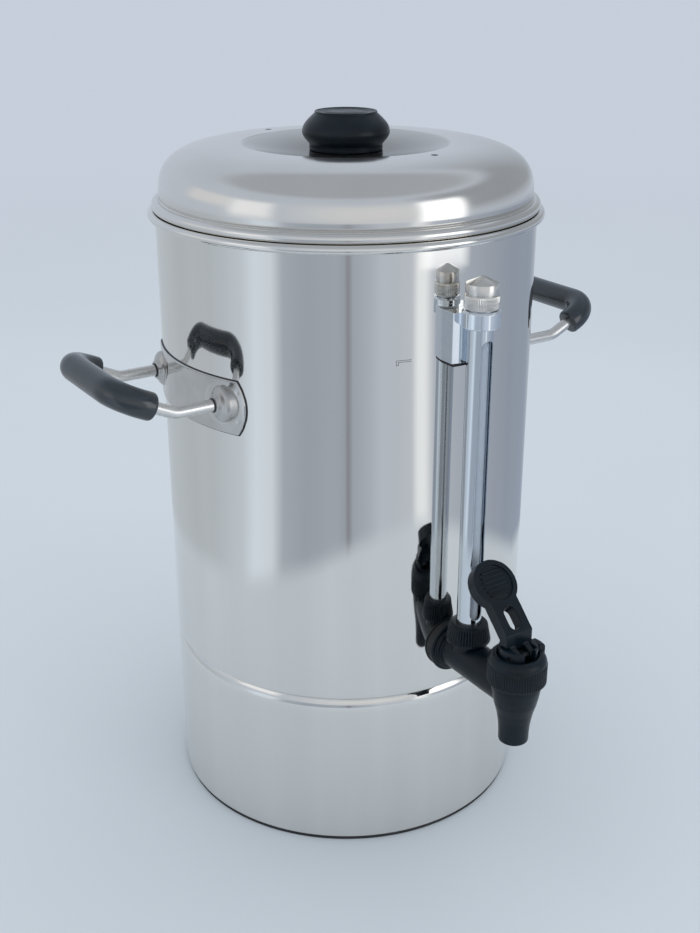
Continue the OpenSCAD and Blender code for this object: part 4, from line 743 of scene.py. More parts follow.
class URN_OT_tank(bpy.types.Operator):
    """Turn the tank wall with its rolled rim and the base ring, and print the level mark"""

    bl_idname = "urn.tank"
    bl_label = "Tank and base"

    def execute(self, context):
        tank = context.scene.urn_tank
        wall, sheet, seam = tank.wall / MM, tank.sheet / MM, tank.seam / MM
        bead = tank.rim_bead / MM
        self.make_wall(tank, wall, sheet, seam, bead)
        self.make_base(tank, wall, sheet, seam)
        self.make_mark(tank, wall)
        return {"FINISHED"}

    def make_wall(self, tank, wall, sheet, seam, bead):
        neck = wall - tank.seam_step / MM
        corner = 1.2
        rim = RIM_TOP - bead
        bead_at = wall - sheet + 0.25 + bead
        touch = math.degrees(math.acos((bead_at - wall) / bead))
        outside = [(neck, NECK_FOOT), (neck, seam - 0.5), (neck, seam), (neck + 0.5, seam)]
        outside += arc((wall - corner, seam + corner), corner, -90, 0, 8)
        outside += [(wall, seam + 3 * corner), (wall, rim - 3 * bead)]
        outside += arc((bead_at, rim), bead, 180 + touch, 540, 36)
        inside = [(wall - sheet, rim), (wall - sheet, seam + 3 * corner)]
        inside += arc((wall - corner, seam + corner), corner - sheet, 0, -90, 6)
        inside += [(neck - sheet, seam + sheet), (neck - sheet, NECK_FOOT)]
        piece = lathe("tank_wall", outside + inside, tank.turns)
        tap_hole = self.bore(12.0, 131.2)
        cut(piece, tap_hole)
        shade(piece, 38.0)
        fit(piece, "urn", "polished_steel", FINISH["tank"], "tank_shell")

    def bore(self, radius, height):
        """A round cutter through the front of the wall."""
        return prism("bore", arc((0.0, height), radius, 0, 354, 59), -WALL_R - 10, -WALL_R + 15)

    def make_base(self, tank, wall, sheet, seam):
        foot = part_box("base_ring")[0].z / MM
        flange = wall - 17.0
        neck = wall - tank.seam_step / MM + 0.3
        rise = tank.shoulder / MM
        level = seam - 0.05 - rise
        turn = 1.6
        mains = 41.8
        line = [(flange, foot), (wall - turn, foot)]
        line += arc((wall - turn, foot + turn), turn, -90, 0, 8)[1:]
        line += [(wall, z) for z in (mains - 24, mains - 17, mains + 17, mains + 24, level - 8)]
        line += arc((neck, level), (wall - neck, rise), 0, 90, 20)
        piece = lathe("base_ring_wall", sheet_loop(line, sheet), tank.turns)
        inlet_low, inlet_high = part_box("power_inlet")
        inset = 1.9
        inlet = block("inlet_hole", (inlet_low.x / MM + inset, wall - 20, inlet_low.z / MM + inset),
                      (inlet_high.x / MM - inset, wall + 10, inlet_high.z / MM - inset))
        step = math.radians(24.0)
        rocker = block("rocker_hole", (-7.6, wall - 20, mains - 11.2), (7.6, wall + 10, mains + 11.2), step)
        turned = Matrix.Rotation(-step, 4, "Z")
        lamp = self.bore(5.0, mains)
        lamp.data.transform(turned @ Matrix.Rotation(math.pi, 4, "Z"))
        cut(piece, inlet, rocker, lamp)
        shade(piece, 38.0)
        fit(piece, "urn", "polished_steel", FINISH["wall"], "base_ring")

    def make_mark(self, tank, wall):
        """A small stepped outline on the wall, as thin printed strips."""
        top = tank.mark_height / MM
        stroke = 0.28
        left, right = -19.4, -15.0
        post = 0.75
        drop = 3.0
        strips = [
            (left, right, top - stroke, top),
            (left, left + 0.15, top - drop, top),
            (left, left + post, top - drop, top - drop + stroke),
            (left + post - 0.15, left + post, top - drop, top - 0.9),
            (left + post, right, top - 0.9 - stroke, top - 0.9),
        ]
        verts, faces = [], []
        for a0, a1, z0, z1 in strips:
            steps = max(1, round((a1 - a0) / 0.5))
            for layer in (wall - 0.1, wall + 0.06):
                for k in range(steps + 1):
                    a = math.radians(-90.0 + a0 + (a1 - a0) * k / steps)
                    verts += [(layer * math.cos(a), layer * math.sin(a), z) for z in (z0, z1)]
            first = len(verts) - 4 * (steps + 1)
            upper = first + 2 * (steps + 1)
            for k in range(steps):
                i, j = upper + 2 * k, first + 2 * k
                faces += [(i, i + 2, i + 3, i + 1), (j, j + 1, j + 3, j + 2)]
                faces += [(i, j, j + 2, i + 2), (i + 1, i + 3, j + 3, j + 1)]
            e, f = upper + 2 * steps, first + 2 * steps
            faces += [(upper, upper + 1, first + 1, first), (e, f, f + 1, e + 1)]
        piece = mesh_object("level_mark", verts, faces)
        fit(piece, "urn", "black_rubber", FINISH["mark"])


class URN_OT_lid(bpy.types.Operator):
    """Spin the lid with its bead and dished top, and mould the knob"""

    bl_idname = "urn.lid"
    bl_label = "Lid"

    def execute(self, context):
        lid = context.scene.urn_lid
        sheet = context.scene.urn_tank.sheet / MM
        turns = context.scene.urn_tank.turns
        bead = lid.bead / MM
        skirt = WALL_R - 2.6
        bead_at, bead_z = skirt + 1.2, LID_FOOT + 8.0 + bead
        dish = LID_TOP - lid.dish / MM
        ring = lid.ring / MM
        edge, floor = lid.bowl / MM, 25.0
        dome_r, dome_z = edge + 1.0, bead_z + bead * math.sin(math.radians(112.0)) + 1.4
        rise = LID_TOP - dome_z
        power = 2 / 2.94
        line = [(skirt, LID_FOOT), (skirt, bead_z - bead - 0.6)]
        line += arc((bead_at, bead_z), bead, -112, 112, 28)
        line += [(skirt - 0.6, dome_z - 0.8)]
        for k in range(96):
            a = math.radians(90.0 * (k / 96) ** 0.8)
            across, up = math.cos(a) ** power, math.sin(a) ** power
            line.append((dome_r + (skirt - dome_r) * across, dome_z + rise * up))
        line = line[:-1] + smooth_line([line[-1], (edge + 0.6, LID_TOP - 0.1), (edge, LID_TOP - 0.4)], 6)[:-1]
        for k in range(41):
            t = 1 - k / 40
            line.append((floor + (edge - floor) * t, dish + (lid.dish / MM - 0.4) * t ** 1.6))
        line += [(2.6, dish)]
        cover = lathe("lid_cover", sheet_loop(line, sheet), turns, sharp=50.0)
        vents = []
        for way in (-1, 1):
            place = (-way * ring * math.sin(lid.vent_turn), way * ring * math.cos(lid.vent_turn))
            vents.append(drum("vent", lid.vent / MM, LID_TOP - 5, LID_TOP + 5, 32, place))
        cut(cover, *vents)
        shade(cover, 50.0)
        fit(cover, "lid", "polished_steel", FINISH["spun"], "lid_shell")
        self.make_knob(lid, dish)
        return {"FINISHED"}

    def make_knob(self, lid, dish):
        wide, top = lid.knob / MM, lid.knob_top / MM
        foot, band, belly, tall, lip = 21.5, 3.6, 10.3, 21.8, 1.0
        line = [(0.0, 0.05), (foot - 0.8, 0.05), (foot - 0.1, 0.4), (foot, 1.0), (foot, band - 1.0)]
        line += [(foot - 0.5, band - 0.7), (foot - 0.5, band - 0.3), (foot + 0.2, band)]
        for k in range(1, 13):
            t = k / 12
            line.append((foot + (wide - foot) * math.sin(math.pi / 2 * t), band + (belly - band) * t))
        for k in range(1, 20):
            a = math.pi / 2 * k / 20
            line.append((top + (wide - top) * math.cos(a) ** 2.4, belly + (tall - lip - belly) * math.sin(a)))
        line += [(top, tall - lip), (top + 0.05, tall - 0.35), (top - 0.3, tall), (top - 0.9, tall - 0.1)]
        line += [(top - 1.5, tall - 0.5), (top - 2.2, tall - 0.6), (top - 5.0, tall - 0.6)]
        line += [(top - 5.3, tall - 0.8), (top - 5.7, tall - 0.8), (top - 6.0, tall - 0.6), (0.0, tall - 0.6)]
        line = [(r, dish + z) for r, z in line]
        knob = lathe("knob", line, 128, closed=False, sharp=48.0)
        fit(knob, "lid", "black_plastic", FINISH["moulding"], "lid_knob")


class URN_OT_handles(bpy.types.Operator):
    """Bend the handle rods, sleeve them and press the wall plates with their bosses"""

    bl_idname = "urn.handles"
    bl_label = "Handles"

    knee_at = 133.0
    knee = 14.0
    reach = 32.0
    corner = 16.0
    grip_from = 11.5
    plate_half = 48.0
    plate_bulge = 5.0
    plate_h = 31.5
    plate_drop = 1.0

    def execute(self, context):
        handle = context.scene.urn_handle
        for name, way in (("right", 1), ("left", -1)):
            self.make_rod(handle, name, way)
            self.make_grip(handle, name, way)
            self.make_plate(handle, name, way)
            self.make_bosses(handle, name, way)
        return {"FINISHED"}

    def sloped(self, handle, x, y):
        """A point of the sloping leg plane, in the urn's frame."""
        spin = handle.slope
        return (
            self.knee_at + x * math.cos(spin) + self.knee * math.sin(spin), y,
            handle.height / MM + self.knee + x * math.sin(spin) - self.knee * math.cos(spin),
        )

    def loop(self, handle, start):
        """The leg, corner and cross bar from one side to the other."""
        half = handle.half / MM
        inner = half - self.corner
        leg_end = self.reach - self.corner
        side = [(start + (leg_end - start) * k / 6, -half) for k in range(6)]
        side += arc((leg_end, -inner), self.corner, -90, 0, 16)
        side += [(self.reach, -inner + inner * k / 6) for k in range(1, 7)]
        full = side + [(x, -y) for x, y in side[-2::-1]]
        return [self.sloped(handle, x, y) for x, y in full]

    def make_rod(self, handle, name, way):
        half, height = handle.half / MM, handle.height / MM
        start = math.sqrt(WALL_R ** 2 - half ** 2) + 3.0
        leg = [(start + (self.knee_at - start) * k / 4, -half, height) for k in range(4)]
        for k in range(8):
            a = handle.slope * k / 8
            x, rise = self.knee_at + self.knee * math.sin(a), self.knee * (1 - math.cos(a))
            leg.append((x, -half, height + rise))
        path = leg + self.loop(handle, 0.0) + [(x, -y, z) for x, y, z in leg[::-1]]
        path = [(x * way, y, z) for x, y, z in path]
        rod = sweep("rod_" + name, path, [handle.rod / MM] * len(path), 32)
        fit(rod, "urn", "chrome", FINISH["rod"], "handle_rod_" + name)
        nose = start - 3.0 + handle.boss_height / MM
        for end, y in (("front", -half), ("back", half)):
            line = [((nose + p) * way, y, height) for p in (-0.4, 0.1, 0.6, 0.9)]
            radii = [handle.rod / MM + d for d in (0.7, 0.75, 0.5, 0.1)]
            ring = sweep("rod_ring_" + name + "_" + end, line, radii, 32)
            fit(ring, "urn", "black_rubber", FINISH["seal"])

    def make_grip(self, handle, name, way):
        path = [(x * way, y, z) for x, y, z in self.loop(handle, self.grip_from)]
        radius = handle.grip / MM
        ends = [(0.0, 1.6), (0.12, 1.0), (0.45, 0.45), (1.0, 0.12), (1.7, 0.0)]
        start, back = Vector(path[0]), Vector(path[-1])
        ahead = (Vector(path[1]) - start).normalized()
        behind = (Vector(path[-2]) - back).normalized()
        line = [tuple(start + ahead * s) for s, d in ends] + path[3:-3]
        line += [tuple(back + behind * s) for s, d in ends[::-1]]
        middle = [radius] * len(path[3:-3])
        radii = [radius - d for s, d in ends] + middle + [radius - d for s, d in ends[::-1]]
        grip = sweep("grip_" + name, line, radii, 56)
        fit(grip, "urn", "grip_plastic", FINISH["grip"], "handle_grip_" + name)

    def make_bosses(self, handle, name, way):
        """The two pressed bosses that a rod's legs go into, turned about X and seated on the wall."""
        half, height = handle.half / MM, handle.height / MM
        wall_x = math.sqrt(WALL_R ** 2 - half ** 2)
        wide, nose, tall = handle.boss / MM, 5.2, handle.boss_height / MM
        profile = [(nose - 0.6, tall), (nose, tall - 0.25), (nose + 0.8, tall - 1.1)]
        profile += [(wide * 0.66, tall - 2.1), (wide * 0.82, tall - 3.1), (wide * 0.93, tall - 3.9)]
        profile += [(wide, tall - 5.0), (wide + 0.2, tall - 6.6), (wide + 0.6, tall - 10.0)]
        profile += [(wide + 0.8, tall - 12.0)]
        line = [(0.0, tall)] + smooth_line(profile, 5) + [(0.0, tall - 12.0)]
        turn = Matrix.Rotation(way * math.pi / 2, 4, "Y")
        for end, y in (("front", -half), ("back", half)):
            boss = lathe("boss_" + name + "_" + end, line, 96, closed=False, sharp=50.0)
            boss.data.transform(Matrix.Translation((way * wall_x * MM, y * MM, height * MM)) @ turn)
            cut(boss, drum("seat", WALL_R + 0.2, height - 20.0, height + 20.0, 288))
            shade(boss, 50.0)
            fit(boss, "urn", "polished_steel", FINISH["satin"])

    def make_plate(self, handle, name, way):
        plate = self.plate_sheet("plate_" + name, way, handle, WALL_R + 0.05, WALL_R + 1.25, 0.0, True)
        fit(plate, "urn", "polished_steel", FINISH["plate"], "handle_plate_" + name)
        # A black strip just proud of the plate's edge: painted shade for the dark gap line round the plate.
        edge_shade = self.plate_sheet("plate_edge_shade_" + name, way, handle, WALL_R - 0.1, WALL_R + 0.75, 0.55, False)
        fit(edge_shade, "urn", "black_rubber", FINISH["seal"])

    def plate_sheet(self, name, way, handle, inner, outer, grow, pressed):
        """A curved plate with bulged ends; a pressed one has soft grooves round its bosses and sunk weld
        dots.
        """
        half, height = handle.half / MM, handle.height / MM
        flat = self.plate_half + grow * 0.5
        up = self.plate_h / 2 + grow
        bulge = self.plate_bulge + grow * 0.5
        circle = (up * up + bulge * bulge) / (2 * bulge)
        tip = flat + bulge
        columns = [-tip + 2 * tip * k / 190 for k in range(191)]
        columns[0:4] = [-tip, -tip + 0.06, -tip + 0.25, -tip + 0.7]
        columns[-4:] = [tip - 0.7, tip - 0.25, tip - 0.06, tip]
        rows = 64
        middle = height - self.plate_drop
        verts = []
        for layer in (0, 1):
            for y in columns:
                past = abs(y) - flat
                tall = up if past <= 0 else math.sqrt(max(circle ** 2 - (abs(y) - tip + circle) ** 2, 0.0))
                tall = min(tall, up)
                for k in range(rows + 1):
                    z = tall * math.sin(math.pi * (k / rows - 0.5))
                    edge = min(tall - abs(z), (tip - abs(y)) * 1.5)
                    soft = 0.45 * max(0.0, 1.0 - edge / 0.6) ** 2
                    x = math.sqrt((inner if layer else outer - soft) ** 2 - y * y)
                    if pressed and not layer:
                        x = self.pressed_x(handle, x, y, z - self.plate_drop, half)
                    verts.append((x * way, y, middle + z))
        count = rows + 1
        total = len(columns) * count
        faces = []
        for i in range(len(columns) - 1):
            for k in range(rows):
                a, b = i * count + k, (i + 1) * count + k
                faces.append((a, b, b + 1, a + 1))
                faces.append((total + a, total + a + 1, total + b + 1, total + b))
            a, b = i * count, (i + 1) * count
            faces.append((a, total + a, total + b, b))
            faces.append((a + rows, b + rows, total + b + rows, total + a + rows))
        for i in (0, len(columns) - 1):
            for k in range(rows):
                a = i * count + k
                faces.append((a, a + 1, total + a + 1, total + a))
        return mesh_object(name, verts, faces, 50.0)

    def pressed_x(self, handle, x, y, z, half):
        """The plate's face with a soft groove round each boss and the weld dots sunk."""
        groove_r = handle.boss / MM + 0.2
        for side in (-1, 1):
            distance = math.hypot(y - side * half, z)
            x -= 0.35 * math.exp(-(((distance - groove_r) / 0.9) ** 2))
            for way in (-1, 1):
                dot = math.hypot(y - side * (half + 11.2), z - way * 8.6)
                x -= 0.28 * math.exp(-((dot / 1.1) ** 2))
        return x


class URN_OT_gauge(bpy.types.Operator):
    """Make the slotted shield, the sight glass, the knurled cap and the ribbed nut"""

    bl_idname = "urn.gauge"
    bl_label = "Level gauge"

    def execute(self, context):
        gauge = context.scene.urn_gauge
        axis = (0.0, GAUGE_Y)
        outer, wall = gauge.shield / MM, 0.8
        low, high = SHIELD_FOOT + 7.0, SHIELD_TOP - 21.5
        stops = [SHIELD_FOOT, low, low + 5, high - 5, high, SHIELD_TOP]
        eased = outer - 0.15
        line = [(eased, SHIELD_FOOT)] + [(outer, z) for z in stops[1:-1]] + [(eased, SHIELD_TOP)]
        line += [(outer - wall, z) for z in stops[::-1]]
        shield = lathe("gauge_tube", line, 96, axis)
        cut(shield, stadium("slot", gauge.slot / 2 / MM, low, high, GAUGE_Y - 20, GAUGE_Y))
        shade(shield, 38.0)
        fit(shield, "urn", "chrome", FINISH["chrome"], "gauge_shield")
        self.make_glass(gauge, axis)
        self.make_cap(gauge, axis)
        self.make_nut(gauge, axis)
        return {"FINISHED"}

    def make_glass(self, gauge, axis):
        low, high = [p.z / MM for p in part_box("gauge_glass")]
        radius, wall = gauge.glass / MM, 1.3
        line = [(radius - 0.3, low), (radius, low + 0.3), (radius, high - 0.3), (radius - 0.3, high)]
        line += [(radius - wall, high), (radius - wall, low)]
        glass = lathe("sight_glass", line, 96, axis)
        fit(glass, "urn", "gauge_glass", FINISH["glass"], "gauge_glass")

    def make_cap(self, gauge, axis):
        z, knurl_h, knurl_r = CAP_FOOT, 7.4, 9.6
        band, band_h, cone = 8.9, 6.2, 3.4
        top = z + knurl_h
        line = [(7.26, z + 0.2), (8.6, z), (9.1, z + 0.1), (knurl_r, z + 0.7)]
        line += [(knurl_r, z + 0.7 + (knurl_h - 1.4) * k / 8) for k in range(1, 9)]
        line += [(9.1, top - 0.05), (band - 0.35, top + 0.15), (band - 0.35, top + 0.6), (band, top + 0.9)]
        crown = top + band_h
        line += [(band, crown - 0.6), (band - 0.15, crown - 0.15), (band - 0.6, crown + 0.1)]
        line += [(1.4, crown + cone - 0.1), (0.0, crown + cone), (0.0, crown - 2.9), (7.26, crown - 2.9)]
        teeth = gauge.cap_knurls
        knurled = range(3, 12)

        def wave(a, k):
            if k not in knurled:
                return 0.0
            lean = (k - 7) * 0.16
            return -0.38 * max(abs(math.sin(teeth * a / 2 + lean)), abs(math.sin(teeth * a / 2 - lean))) ** 3

        cap = lathe("cap", line, teeth * 8, axis, False, wave, 30.0)
        fit(cap, "cap", "nickel", FINISH["nickel"], "gauge_cap")

    def make_nut(self, gauge, axis):
        z, low_r, top_r, tall = NUT_FOOT, 13.1, 10.4, 11.75
        line = [(9.6, z), (low_r - 0.6, z), (low_r - 0.1, z + 0.3), (low_r, z + 0.8), (low_r - 0.15, z + 1.8)]
        for k in range(9):
            line.append((low_r - 0.2 + (top_r + 1.1 - low_r) * k / 8, z + 2.0 + (tall - 3.3) * k / 8))
        line += [(top_r + 0.7, z + tall - 0.7), (top_r + 0.2, z + tall - 0.2), (top_r - 0.3, z + tall)]
        line += [(7.3, z + tall), (7.3, z + tall - 3.3), (9.6, z + tall - 3.3)]
        ribs = gauge.nut_ribs
        ribbed = range(5, 14)

        def wave(a, k):
            if k not in ribbed:
                return 0.0
            return -0.55 * (0.5 + 0.5 * math.cos(ribs * a)) ** 2

        nut = lathe("gauge_foot_nut", line, ribs * 12, axis, True, wave, 50.0)
        fit(nut, "urn", "black_plastic", FINISH["moulding"], "gauge_nut")


class URN_OT_tap(bpy.types.Operator):
    """Mould the tap's body, bonnet, guide and lever"""

    bl_idname = "urn.tap"
    bl_label = "Tap"

    def execute(self, context):
        tap = context.scene.urn_tap
        body = moulded("tap_casting", ("tap_body", "tap_spout"), tap.grain, 6)
        fit(body, "urn", "black_plastic", FINISH["moulding"], "tap_body", "tap_spout")
        guide = moulded("tap_crown", ("tap_guide",), tap.grain, 4)
        fit(guide, "urn", "black_plastic", FINISH["moulding"], "tap_guide")
        lever = moulded("lever", ("tap_lever",), tap.grain, 4)
        fit(lever, "lever", "black_plastic", FINISH["moulding"], "tap_lever")
        self.make_bonnet(tap)
        self.make_spring()
        return {"FINISHED"}

    def make_bonnet(self, tap):
        z, radius, rib = BONNET_FOOT, tap.bonnet / MM, 0.35
        hole, bore = 11.7, 14.05
        rib_top, shoulder = z + 12.7, 5.0
        core = radius - rib
        line = [(bore, z), (radius - 1.4, z), (core - 0.2, z + 0.5), (radius, z + 0.9)]
        line += [(radius, z + 0.9 + (rib_top - z - 1.3) * k / 8) for k in range(1, 9)]
        line += [(core, rib_top)]
        line += arc((hole + 0.9, rib_top), (core - hole - 0.9, shoulder), 8, 84, 14)
        line += [(hole + 0.5, rib_top + shoulder - 0.05), (hole, rib_top + shoulder - 0.6)]
        line += [(hole, z + 11.2), (bore, z + 11.2)]
        ribs, depth = tap.ribs, tap.rib_depth / MM
        ribbed = range(3, 12)

        def wave(a, k):
            return -depth * (0.5 + 0.5 * math.cos(ribs * a)) ** 1.5 if k in ribbed else 0.0

        bonnet = lathe("bonnet", line, ribs * 8, (0.0, VALVE_Y), True, wave, 45.0)
        tab = self.make_tab(core, rib_top, z + 20.3)
        fit(bonnet, "urn", "black_plastic", FINISH["moulding"], "tap_bonnet")
        fit(tab, "urn", "black_plastic", FINISH["moulding"])

    def make_spring(self):
        """The spring on the stem: it rises with the stem."""
        low, high = [corner.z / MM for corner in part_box("tap_spring")]
        coil, wire, turns, per_turn = 5.6, 0.45, 5, 36
        steps = turns * per_turn
        path = []
        for k in range(steps + 1):
            a = 2 * math.pi * k / per_turn
            z = low + wire + (high - low - 2 * wire) * k / steps
            path.append((coil * math.cos(a), VALVE_Y + coil * math.sin(a), z))
        spring = sweep("spring", path, [wire] * len(path), 12)
        fit(spring, "stem", "plain_steel", FINISH["plain"], "tap_spring")
        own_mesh(spring)

    def make_tab(self, core, low, high):
        """The stop lug that stands on the bonnet's shoulder."""
        half, inner = 4.5, 12.5
        steps = 12
        ring = []
        for k in range(steps + 1):
            y = -half + 2 * half * k / steps
            ring.append((math.sqrt(core * core - y * y), y))
        for k in range(steps + 1):
            y = half - 2 * half * k / steps
            ring.append((math.sqrt(inner * inner - y * y), y))
        levels = [(low - 1.0, 0.0), (high - 1.5, 0.0), (high - 0.6, 0.25), (high - 0.1, 0.7), (high, 1.2)]
        count = len(ring)
        verts, faces = [], []
        middle = ((core + inner) / 2, 0.0)
        for z, inset in levels:
            for x, y in ring:
                across = (x - middle[0]) * (1 - inset / 2.2) + middle[0]
                verts.append((across, VALVE_Y + y * (1 - inset / 4.5), z))
        for n in range(len(levels) - 1):
            for k in range(count):
                m = (k + 1) % count
                faces.append((n * count + k, n * count + m, (n + 1) * count + m, (n + 1) * count + k))
        faces += [tuple(range(count)), tuple((len(levels) - 1) * count + k for k in range(count))]
        return mesh_object("bonnet_lug", verts, faces, 50.0)


FAR_BANDS = (
    (-179.0, (0.53, 0.58, 0.63)),
    (-118.0, (0.50, 0.55, 0.60)),
    (-95.0, (0.60, 0.67, 0.75)),
    (-86.0, (0.74, 0.83, 0.93)),
    (-76.0, (0.72, 0.80, 0.89)),
    (-69.0, (0.44, 0.49, 0.56)),
    (-55.0, (0.38, 0.43, 0.50)),
    (-38.0, (0.40, 0.45, 0.52)),
    (-33.5, (0.37, 0.41, 0.47)),
    (-32.4, (0.27, 0.29, 0.33)),
    (-31.4, (0.27, 0.29, 0.33)),
    (-30.0, (0.40, 0.44, 0.51)),
    (-20.0, (0.47, 0.52, 0.60)),
    (-13.0, (0.55, 0.60, 0.69)),
    (-4.0, (0.56, 0.61, 0.69)),
    (4.0, (0.58, 0.63, 0.71)),
    (8.0, (0.92, 0.96, 1.0)),
    (12.0, (0.92, 0.96, 1.0)),
    (18.0, (0.50, 0.55, 0.63)),
    (40.0, (0.42, 0.47, 0.55)),
    (80.0, (0.32, 0.37, 0.46)),
    (110.0, (0.32, 0.37, 0.46)),
    (140.0, (0.56, 0.61, 0.66)),
    (179.0, (0.53, 0.58, 0.63)),
)

TABLE_EDGE = (
    (-179.0, 0.43),
    (-90.0, 0.43),
    (-51.0, 0.484),
    (-26.0, 0.531),
    (10.0, 0.57),
    (40.0, 0.52),
    (90.0, 0.40),
    (130.0, 0.40),
    (179.0, 0.43),
)


def fill_ramp(ramp, stops):
    """Sets a colour ramp's stops."""
    while len(ramp.elements) > 1:
        ramp.elements.remove(ramp.elements[-1])
    for k, (position, color) in enumerate(stops):
        stop = ramp.elements[0] if k == 0 else ramp.elements.new(position)
        stop.position = position
        stop.color = (*color, 1.0)


def wire(tree, kind, *feeds, **values):
    """Adds a node with its settings, and feeds its first inputs with other nodes' outputs or with values."""
    node = tree.nodes.new(kind)
    for key, value in values.items():
        setattr(node, key, value)
    for socket, feed in zip(node.inputs, feeds):
        if isinstance(feed, bpy.types.NodeSocket):
            tree.links.new(feed, socket)
        else:
            socket.default_value = feed
    return node


def combine(tree, operation, first, second, **values):
    """The output of a node that works on two numbers."""
    return wire(tree, "ShaderNodeMath", first, second, operation=operation, **values).outputs[0]


class URN_OT_stage(bpy.types.Operator):
    """Lay the floor, hang the lamps and set the camera"""

    bl_idname = "urn.stage"
    bl_label = "Stage"

    def execute(self, context):
        stage = context.scene.urn_stage
        context.scene.view_settings.view_transform = "Standard"
        self.set_camera(context, stage)
        self.set_world(context, stage)
        self.make_floor(stage)
        self.make_far_table()
        self.hang_panel("side_panel", (-106.0, -72.0), 1.4, (0.16, 1.0), stage.panel)
        self.hang_panel("rear_panel", (-142.0, -98.0), 1.4, (0.40, 1.0), stage.front)
        self.hang_panel("front_panel", (-70.0, 34.0), 1.9, (-0.25, 1.35), stage.front, soft=4.2)
        self.hang_panel("dark_panel", (2.0, 142.0), 2.6, (0.05, 2.7), stage.dark)
        self.hang_panel("key_panel", (7.0, 42.0), 1.6, (-0.1, 1.2), stage.panel, 1.7)
        self.hang_lamp("key_lamp", (0.573, -1.494, 0.54), (0.62, 0.75), stage.key)
        self.hang_lamp("top_lamp", (0.1, 0.1, 1.7), (1.8, 1.8), stage.top)
        return {"FINISHED"}

    def set_camera(self, context, stage):
        view = bpy.data.cameras.new("camera")
        view.lens = stage.lens
        view.sensor_width = 36.0
        view.clip_start = 0.01
        camera = bpy.data.objects.new("camera", view)
        context.scene.collection.objects.link(camera)
        heading, pitch = math.radians(33.0), math.radians(22.577)
        place, tip, roll = (-0.4059, -0.6251, 0.5168), -0.00273, -0.00173
        flat = math.cos(pitch)
        ahead = Vector((math.sin(heading) * flat, math.cos(heading) * flat, -math.sin(pitch)))
        turn = ahead.to_track_quat("-Z", "Y").to_matrix()
        turn = turn @ Matrix.Rotation(tip, 3, "Y") @ Matrix.Rotation(roll, 3, "Z")
        camera.matrix_world = Matrix.Translation(place) @ turn.to_4x4()
        context.scene.camera = camera

    def set_world(self, context, stage):
        """Even light for matt surfaces, and a pale surround that is greyer higher up for what is seen."""
        world = bpy.data.worlds.new("studio")
        world.use_nodes = True
        tree = world.node_tree
        tree.nodes.clear()
        way = wire(tree, "ShaderNodeTexCoord").outputs["Generated"]
        split = wire(tree, "ShaderNodeSeparateXYZ", way)
        ramp = wire(tree, "ShaderNodeValToRGB", split.outputs["Z"])
        high = tuple(c * 0.95 for c in stage.backdrop)
        stops = [(0.0, stage.backdrop), (0.3, stage.backdrop), (0.68, high)]
        stops += [(0.78, stage.room), (1.0, stage.room)]
        fill_ramp(ramp.color_ramp, stops)
        seen = wire(tree, "ShaderNodeBackground", ramp.outputs["Color"])
        lit = wire(tree, "ShaderNodeBackground", (0.97, 0.985, 1.0, 1.0), stage.world)
        path = wire(tree, "ShaderNodeLightPath").outputs
        shown = combine(tree, "MAXIMUM", path["Is Camera Ray"], path["Is Glossy Ray"])
        shown = combine(tree, "MAXIMUM", shown, path["Is Transmission Ray"])
        mix = wire(tree, "ShaderNodeMixShader", shown, lit.outputs[0], seen.outputs[0])
        wire(tree, "ShaderNodeOutputWorld", mix.outputs[0])
        context.scene.world = world

    def make_floor(self, stage):
        """A matt floor that runs into the backdrop's colour far from the urn."""
        rings, turns = (0.0, 400.0, 900.0, 1500.0, 3000.0, 6000.0, 12000.0), 64
        floor = lathe("floor", [(r, 0.0) for r in rings], turns, closed=False)
        paint = Finish("floor", stage.floor, 0.7, 0.0, Specular_IOR_Level=0.2)
        paint.mottle(paint.noise(1.5, (1.0, 1.0, 1.0), 2.0), 0.985, 1.015)
        haze, mix = paint.node("ShaderNodeEmission"), paint.node("ShaderNodeMixShader")
        haze.inputs["Color"].default_value = (*stage.backdrop, 1.0)
        paint.link(paint.spread(paint.rings(), 0.0, 1.0, 0.9, 2.6), mix.inputs[0])
        paint.link(paint.shader.outputs[0], mix.inputs[1])
        paint.link(haze.outputs[0], mix.inputs[2])
        paint.link(mix.outputs[0], paint.tree.nodes["Material Output"].inputs["Surface"])
        floor.data.materials.append(paint.material)

    def make_far_table(self):
        """The ground beyond the table's edge, in soft bands round the urn, that only reflections show."""
        soft = 0.03
        fade_from, fade_to = 1.7, 3.3
        card = lathe("far_table", [(r, 1.0) for r in (300.0, 800.0, 3400.0)], 96, closed=False)
        tree, light = self.glow(card, (1.0, 1.0, 1.0))
        place = wire(tree, "ShaderNodeTexCoord").outputs["Object"]
        split = wire(tree, "ShaderNodeSeparateXYZ", place)
        size = wire(tree, "ShaderNodeVectorMath", place, operation="LENGTH").outputs["Value"]
        back = combine(tree, "MULTIPLY", split.outputs["Y"], -1.0)
        turn = combine(tree, "ARCTAN2", split.outputs["X"], back)
        share = wire(tree, "ShaderNodeMapRange", turn, -math.pi, math.pi).outputs[0]
        ramp = wire(tree, "ShaderNodeValToRGB", share)
        fill_ramp(ramp.color_ramp, [((a + 180.0) / 360.0, color) for a, color in FAR_BANDS])
        tree.links.new(ramp.outputs["Color"], light.inputs["Color"])
        near = wire(tree, "ShaderNodeValToRGB", share)
        fill_ramp(near.color_ramp, [((a + 180.0) / 360.0, (far, far, far)) for a, far in TABLE_EDGE])
        edge = combine(tree, "SUBTRACT", size, near.outputs["Color"])
        step = {"interpolation_type": "SMOOTHSTEP"}
        past = wire(tree, "ShaderNodeMapRange", edge, -soft, soft, **step).outputs[0]
        fade = wire(tree, "ShaderNodeMapRange", size, fade_from, fade_to, 1.0, 0.0, **step).outputs[0]
        self.thin(tree, light, combine(tree, "MULTIPLY", past, fade))

